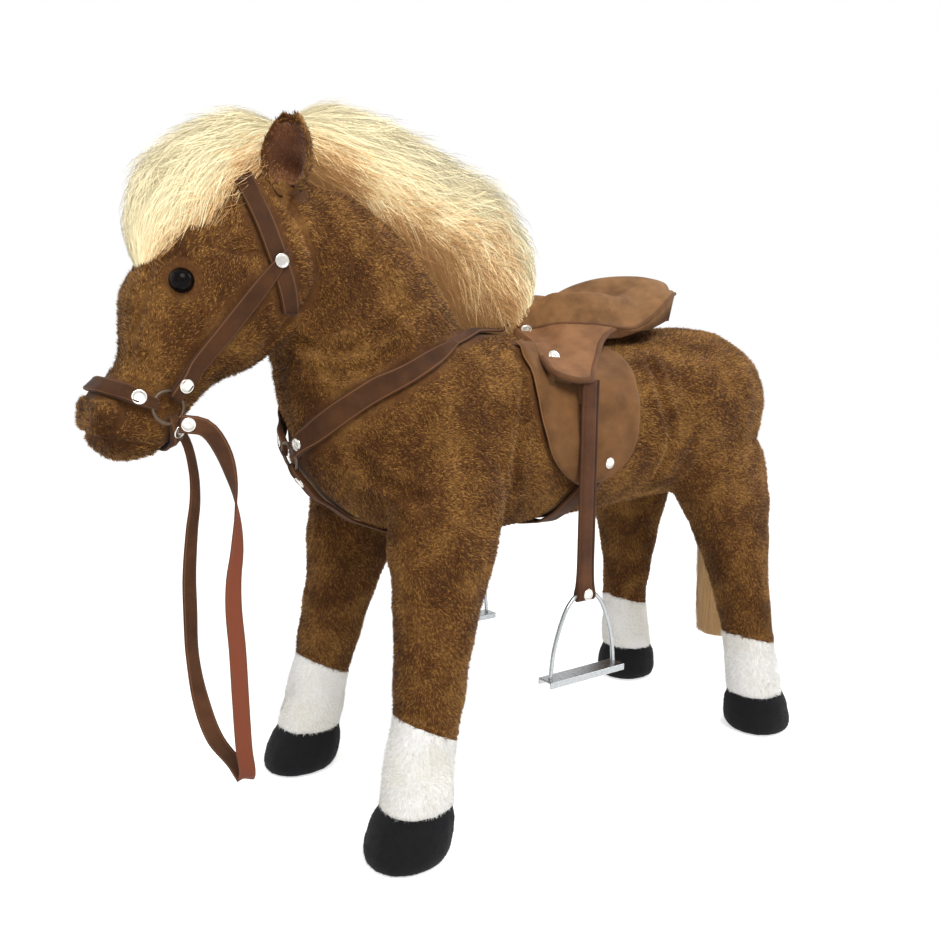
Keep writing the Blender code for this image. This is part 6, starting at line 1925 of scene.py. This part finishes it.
@dataclass
class Stirrup:
    """One leather, its wire bow and its folded tread."""

    side: Side
    face_x: float = 0.1052
    width: float = 0.0215
    thickness: float = 0.0032
    hinge_z: float = 0.4000
    leather_y: float = -0.0435
    drop: float = 0.1960
    rivet_rise: float = 0.0155
    loop_thickness: float = 0.0104
    loop_height: float = 0.030
    wire: float = 0.0042
    bow_height: float = 0.0800
    bow_width: float = 0.084
    top_width: float = 0.026
    tread_length: float = 0.098
    tread_width: float = 0.019
    sheet: float = 0.0018
    lip: float = 0.0065
    bow_shares: Points = ((0.36, 0.02), (0.55, 0.13), (0.76, 0.36), (0.93, 0.66), (1.00, 1.00))
    groove_shares: tuple[float, ...] = (0.55, 0.96, 1.0, 0.62, 1.0, 1.0, 1.0, 1.0, 1.0, 0.62, 1.0, 0.96, 0.55)
    across_shares: tuple[float, ...] = (
        -1.0, -0.93, -0.74, -0.68, -0.62, -0.3, 0.0, 0.3, 0.62, 0.68, 0.74, 0.93, 1.0)

    def build(self) -> list[Item]:
        """Make the three pieces and the leather's rivet."""
        across = self.side.value * (self.face_x + self.thickness / 2)
        pivot = Vector((across, self.leather_y, self.hinge_z)) + STAND
        bar = pivot - Vector((0.0, 0.0, self.drop))
        return [*self.leather(pivot), self.bow(bar), self.tread(bar)]

    def leather(self, pivot: Vector) -> list[Item]:
        """The leather, folded round the bow at its lower end."""
        radius = self.width / 2
        rows = []
        for degrees in range(84, -1, -7):
            turn = math.radians(degrees)
            rows.append((1.30 * radius * math.sin(turn), radius, self.thickness))
        plain = self.drop - self.loop_height
        rows += [(-plain * k / 36, radius, self.thickness) for k in range(1, 36)]
        fold = ((0.0, self.thickness), (0.40, self.loop_thickness * 0.42), (0.70, self.loop_thickness * 0.62),
                (0.88, self.loop_thickness * 0.90), (1.0, self.loop_thickness))
        places, sizes = zip(*fold)
        rows += [(-plain - self.loop_height * k / 16, radius, blend_value(places, sizes, k / 16))
                 for k in range(17)]
        under = self.wire / 2 + self.thickness
        for k in range(1, 9):
            turn = math.radians(90 * k / 8)
            rows.append((-self.drop - under * math.sin(turn), radius,
                         max(self.loop_thickness * math.cos(turn), self.loop_thickness * 0.2)))
        outer, inner = [], []
        for height, half, thick in rows:
            line = [pivot + Vector((0.0, half * share, height)) for share in self.across_shares]
            depth = [thick / 2 - self.thickness / 2 * (1.0 - share) for share in self.groove_shares]
            outer.append([point + Vector((size, 0.0, 0.0)) for point, size in zip(line, depth)])
            inner.append([point - Vector((size, 0.0, 0.0)) for point, size in zip(line, depth)])
        name = f"leather_{self.side.word}"
        piece = new_piece(name + "_strap", slab(name, outer, inner), LEATHER_SUEDE.material(), name,
                          [name])
        beside = pivot + Vector((self.side.value * 0.1, 0.0, self.rivet_rise - self.drop))
        seat = surface_of(piece).find_nearest(beside)
        return [piece, cap_rivet(name + "_rivet", seat[0], Vector((self.side.value, 0.0, 0.0)), name)]

    def bow(self, bar: Vector) -> Item:
        """The wire bow with its straight bar on top."""
        name = f"stirrup_bow_{self.side.word}"
        half = [bar + Vector((0.0, self.top_width / 2 * k / 3, 0.0)) for k in range(4)]
        places = [Vector((0.0, self.top_width / 2, 0.0))]
        places += [Vector((0.0, self.bow_width / 2 * y, -self.bow_height * z)) for y, z in self.bow_shares]
        half += [bar + point for point in smooth_path(places, 0.003)[1:]]
        route = [Vector((point.x, 2 * bar.y - point.y, point.z)) for point in half[:0:-1]] + half
        return new_piece(name + "_wire", tube(name, route, self.wire / 2, 16), ZINC.material(),
                         f"stirrup_{self.side.word}", [name])

    def tread(self, bar: Vector) -> Item:
        """The folded sheet tread."""
        name = f"stirrup_tread_{self.side.word}"
        middle = bar - Vector((0.0, 0.0, self.bow_height - self.sheet * 2))
        profile = ((-0.5, -self.lip), (-0.5, 0.0), (0.5, 0.0), (0.5, -self.lip))
        inset = ((1.0, 0.0), (1.0, -1.0), (-1.0, -1.0), (-1.0, 0.0))
        outer, inner = [], []
        for share in (-0.5, 0.5):
            row = [middle + Vector((self.tread_width * x, self.tread_length * share, z)) for x, z in profile]
            outer.append(row)
            inner.append([point + Vector((x * self.sheet, 0.0, z * self.sheet))
                          for point, (x, z) in zip(row, inset)])
        piece = new_piece(name + "_sheet", slab(name, outer, inner), ZINC.material(),
                          f"stirrup_{self.side.word}", [name])
        piece.data.shade_flat()
        bevel = piece.modifiers.new("rounded", "BEVEL")
        bevel.width = 0.0006
        bevel.segments = 3
        apply_modifiers(piece)
        return piece


# Hair

@dataclass
class Tuft:
    """A body of hair: rounded sections along a line, combed along it."""

    name: str
    origin: Vector
    line: Vector
    up: Vector
    depth: float
    width: float
    shares: Points
    domes: tuple[float, float]
    body: str = "pony"
    stations: int = 80
    turns: int = 72

    def table(self) -> tuple[Array, Array]:
        """Centres of the sections and the points round them."""
        columns = list(zip(*self.shares))
        centres = np.zeros((self.stations + 1, 3))
        rims = np.zeros((self.stations + 1, self.turns, 3))
        angles = np.arange(self.turns) * 2 * math.pi / self.turns
        for k in range(self.stations + 1):
            share = k / self.stations
            top, low, wide = (blend_value(columns[0], column, share) for column in columns[1:])
            opened = 1.0
            for reach, distance in ((self.domes[0], share), (self.domes[1], 1.0 - share)):
                if distance < reach:
                    opened *= math.sqrt(max(1.0 - ((reach - distance) / reach) ** 2, 0.0))
            opened = max(opened, 0.05)
            centre = self.origin + self.line * share + self.up * self.depth * (top + low) / 2
            centres[k] = centre
            rims[k] = (
                np.array(centre)
                + np.outer(np.cos(angles), (self.width / 2 * wide * opened, 0.0, 0.0))
                + np.outer(np.sin(angles), np.array(self.up) * self.depth * (top - low) / 2 * opened))
        return centres, rims

    @staticmethod
    def read(table: tuple[Array, Array], share: Array, turn: Array,
             out: Array) -> Array:
        """Places by the share along, the turn (one is a whole one) and the share out."""
        centres, rims = table
        stations, turns = len(centres) - 1, rims.shape[1]
        s = np.clip(share, 0.0, 1.0) * stations
        k = np.minimum(s.astype(int), stations - 1)
        f = (s - k)[..., None]
        t = (turn % 1.0) * turns
        j = t.astype(int) % turns
        g = (t - np.floor(t))[..., None]
        centre = centres[k] * (1 - f) + centres[k + 1] * f
        near = rims[k, j] * (1 - g) + rims[k, (j + 1) % turns] * g
        far = rims[k + 1, j] * (1 - g) + rims[k + 1, (j + 1) % turns] * g
        rim = near * (1 - f) + far * f
        return centre + (rim - centre) * out[..., None]

    def core(self, finish: PlushFinish, fill: float) -> Item:
        """The mass of under-hair, its colour drawn towards a painted shade."""
        table = self.table()
        shares = np.linspace(0.02, 0.98, 40)
        turns = np.linspace(0.0, 1.0, 36, endpoint=False)
        s, t = np.meshgrid(shares, turns, indexing="ij")
        grid = self.read(table, s, t, np.full(s.shape, fill))
        rings = [[Vector(point) for point in row] for row in grid]
        piece = new_piece(self.name + "_under_hair", loft(self.name, rings, False), finish.material(False),
                          self.body, [self.name])
        return piece


@dataclass
class Hair:
    """Mane, forelock and tail."""

    mane_front: Colour = (0.0, -0.3165, 0.6092)
    mane_dip: float = math.radians(34.2)
    mane_length: float = 0.305
    mane_depth: float = 0.120
    mane_width: float = 0.064
    head_back: Colour = (0.0, -0.263, 0.563)
    head_dip: float = math.radians(47.0)
    forelock_back: float = -0.016
    forelock_rise: float = 0.050
    forelock_length: float = 0.176
    forelock_depth: float = 0.078
    forelock_width: float = 0.086
    tail_depth: float = 0.050
    tail_width: float = 0.062
    tail_length: float = 0.335
    tail_top: float = 0.410
    tail_dock_y: float = 0.3012
    strand_width: float = 0.00062

    def mane(self) -> None:
        """The long hair along the crest of the neck."""
        line = Vector((0.0, math.cos(self.mane_dip), -math.sin(self.mane_dip)))
        up = Vector((0.0, math.sin(self.mane_dip), math.cos(self.mane_dip)))
        tuft = Tuft("neck_mane", Vector(self.mane_front) + STAND, line * self.mane_length, up, self.mane_depth,
                    self.mane_width, (
                        (0.00, 0.50, -0.20, 0.80), (0.25, 0.73, -0.15, 0.95), (0.45, 0.88, -0.15, 1.00),
                        (0.65, 1.00, -0.15, 1.00), (0.80, 0.93, -0.15, 0.95), (0.92, 0.76, -0.10, 0.90),
                        (1.00, 0.58, 0.00, 0.80)), (0.10, 0.14))
        tuft.core(BLOND_HAIR, 0.50)
        self.comb(tuft, BLOND_HAIR, 44000, (-0.10, 0.88), (0.14, 0.34), 0.45, 91)

    def forelock(self) -> None:
        """The tuft that falls forward between the ears."""
        line = Vector((0.0, -math.cos(self.head_dip), -math.sin(self.head_dip)))
        up = Vector((0.0, -math.sin(self.head_dip), math.cos(self.head_dip)))
        origin = Vector(self.head_back) + line * self.forelock_back + up * self.forelock_rise + STAND
        size = (self.forelock_depth, self.forelock_width)
        tuft = Tuft("forelock", origin, line * self.forelock_length, up, *size, (
            (0.00, 0.62, -0.10, 0.50), (0.18, 0.82, -0.10, 0.62), (0.40, 0.96, -0.10, 0.92),
            (0.65, 1.00, -0.10, 1.00), (0.85, 0.80, -0.05, 0.86), (1.00, 0.55, 0.05, 0.60)), (0.18, 0.16))
        tuft.core(BLOND_HAIR, 0.50)
        self.comb(tuft, BLOND_HAIR, 22000, (-0.10, 0.84), (0.22, 0.50), 0.45, 92)

    def tail(self) -> None:
        """The straight hair of the tail."""
        tuft = Tuft("tail", Vector((0.0, self.tail_dock_y, self.tail_top)) + STAND,
                    Vector((0.0, -0.004, -self.tail_length)), Vector((0.0, 1.0, 0.0)), self.tail_depth,
                    self.tail_width, (
                        (0.00, 0.26, -0.10, 0.50), (0.10, 0.42, -0.22, 0.66), (0.28, 0.50, -0.42, 0.92),
                        (0.55, 0.46, -0.50, 1.00), (0.80, 0.44, -0.48, 0.94), (1.00, 0.42, -0.46, 0.90)),
                    (0.06, 0.005), body="tail")
        tuft.core(TAIL_HAIR, 0.62)
        self.comb(tuft, TAIL_HAIR, 9000, (-0.05, 0.45), (0.50, 1.00), 0.10, 93, 0.03, True)

    def comb(self, tuft: Tuft, finish: PlushFinish, count: int, starts: tuple[float, float],
             reaches: tuple[float, float], clump: float, seed: int, fluff: float = 0.24,
             cut_straight: bool = False) -> None:
        """Lay locks of hair along a tuft.

        Args:
            tuft: The body of hair.
            finish: Its finish.
            count: How many strands.
            starts: The stretch that they grow from, as shares along the tuft.
            reaches: The shortest and the longest strand, as shares of the tuft.
            clump: How far the tips of a lock are drawn together.
            seed: The seed of the draw.
            fluff: How far single tips stand off.
            cut_straight: Whether the tips are cut off square.
        """
        draw = np.random.default_rng(seed)
        locks = max(count // 60, 8)
        lock = draw.integers(0, locks, count)
        lock_start = draw.uniform(*starts, locks)
        lock_turn = draw.random(locks)
        lock_reach = draw.uniform(*reaches, locks)
        lock_out = 1.0 - 0.50 * draw.random(locks) ** 1.5
        lock_drift = draw.normal(0.0, 0.035, locks)
        start = lock_start[lock] + draw.normal(0.0, 0.045, count)
        turn = lock_turn[lock] + draw.normal(0.0, 0.045, count)
        reach = lock_reach[lock] * (1.0 + draw.normal(0.0, 0.14, count))
        out = lock_out[lock] + draw.normal(0.0, 0.05, count)
        knots = 6
        steps = np.linspace(0.0, 1.0, knots)[None, :]
        share = start[:, None] + reach[:, None] * steps
        if cut_straight:
            share = np.minimum(share, 0.985 + 0.012 * draw.random(count)[:, None])
        pulled = turn[:, None] + (lock_turn[lock] - turn)[:, None] * clump * steps ** 1.5
        pulled = pulled + lock_drift[lock][:, None] * steps ** 2
        pulled = pulled + (draw.normal(0.0, 0.012, count)[:, None]) * steps ** 2
        rise = 0.25 + (out[:, None] - 0.25) * (1.0 - (1.0 - np.minimum(steps * 1.25, 1.0)) ** 1.7)
        rise = rise + fluff * (draw.random(count) ** 2)[:, None] * steps ** 2
        places = tuft.read(tuft.table(), share, pulled, rise)
        beyond = np.maximum(share - 1.0, 0.0)[..., None] * np.array(tuft.line)
        lines = places + beyond * 0.3
        along = unit(np.gradient(lines, axis=1))
        centre = tuft.read(tuft.table(), share, pulled, np.zeros_like(rise))
        outward = unit(lines - centre + 1e-6)
        side = unit(np.cross(along, outward))
        roll = draw.uniform(-1.2, 1.2, count)[:, None, None]
        across = (side * np.cos(roll) + outward * np.sin(roll))[:, :-1]
        thin = np.interp(np.linspace(0.0, 1.0, knots)[:-1], (0.0, 0.2, 0.7, 1.0), (0.7, 1.0, 0.9, 0.5))
        # Strands on the tuft's upper side (its rear for the tail) get paler tones: painted light from above and
        # painted shade below; the rest of the tone is random.
        height = 0.5 + 0.5 * np.sin(2 * math.pi * turn)
        pale = np.clip(0.42 * draw.random(count) + 0.60 * (height - 0.22) / 0.50, 0.02, 0.98)
        lit = unit(outward[:, knots // 2] + 0.35 * draw.normal(size=(count, 3)))
        across = across * thin[None, :, None] * self.strand_width / 2
        ribbons(tuft.name + "_hair", lines, across, lit, finish, pale, tuft.body)


@dataclass
class Inside:
    """The frame, the board and the hangers that hold the pony up."""

    def build(self) -> list[Item]:
        """Dress each solid in its finish."""
        wood, steel, cloth = PLYWOOD.material(), BLACK_STEEL.material(), FLAP_SUEDE.material()
        made = []
        for node, finish, slot in (("steel_frame", steel, "black_steel"), ("seat_board", wood, "plywood"),
                                   ("stirrup_hanger_left", cloth, "black_steel"),
                                   ("stirrup_hanger_right", cloth, "black_steel")):
            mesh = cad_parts[node].data.copy()
            mesh.materials.clear()
            made.append(new_piece(node + "_solid", mesh, finish, "pony", [node]))
        return made


def main() -> None:
    """Build every sub-assembly in order."""
    logging.basicConfig(level=logging.INFO, format="%(message)s")
    Studio().build()
    Reins().build()
    coat = Coat()
    surface = surface_of(coat.prepare())
    maker = StrapMaker(surface)
    head = Head(surface).build()
    covers = Bridle(maker).build() + Harness(maker).build() + Saddle(surface).build()
    for side in Side:
        Stirrup(side).build()
    coat.build(surface_of(*covers, *head))
    Inside().build()
    hair = Hair()
    hair.mane()
    hair.forelock()
    hair.tail()


if __name__ == "__main__":
    main()
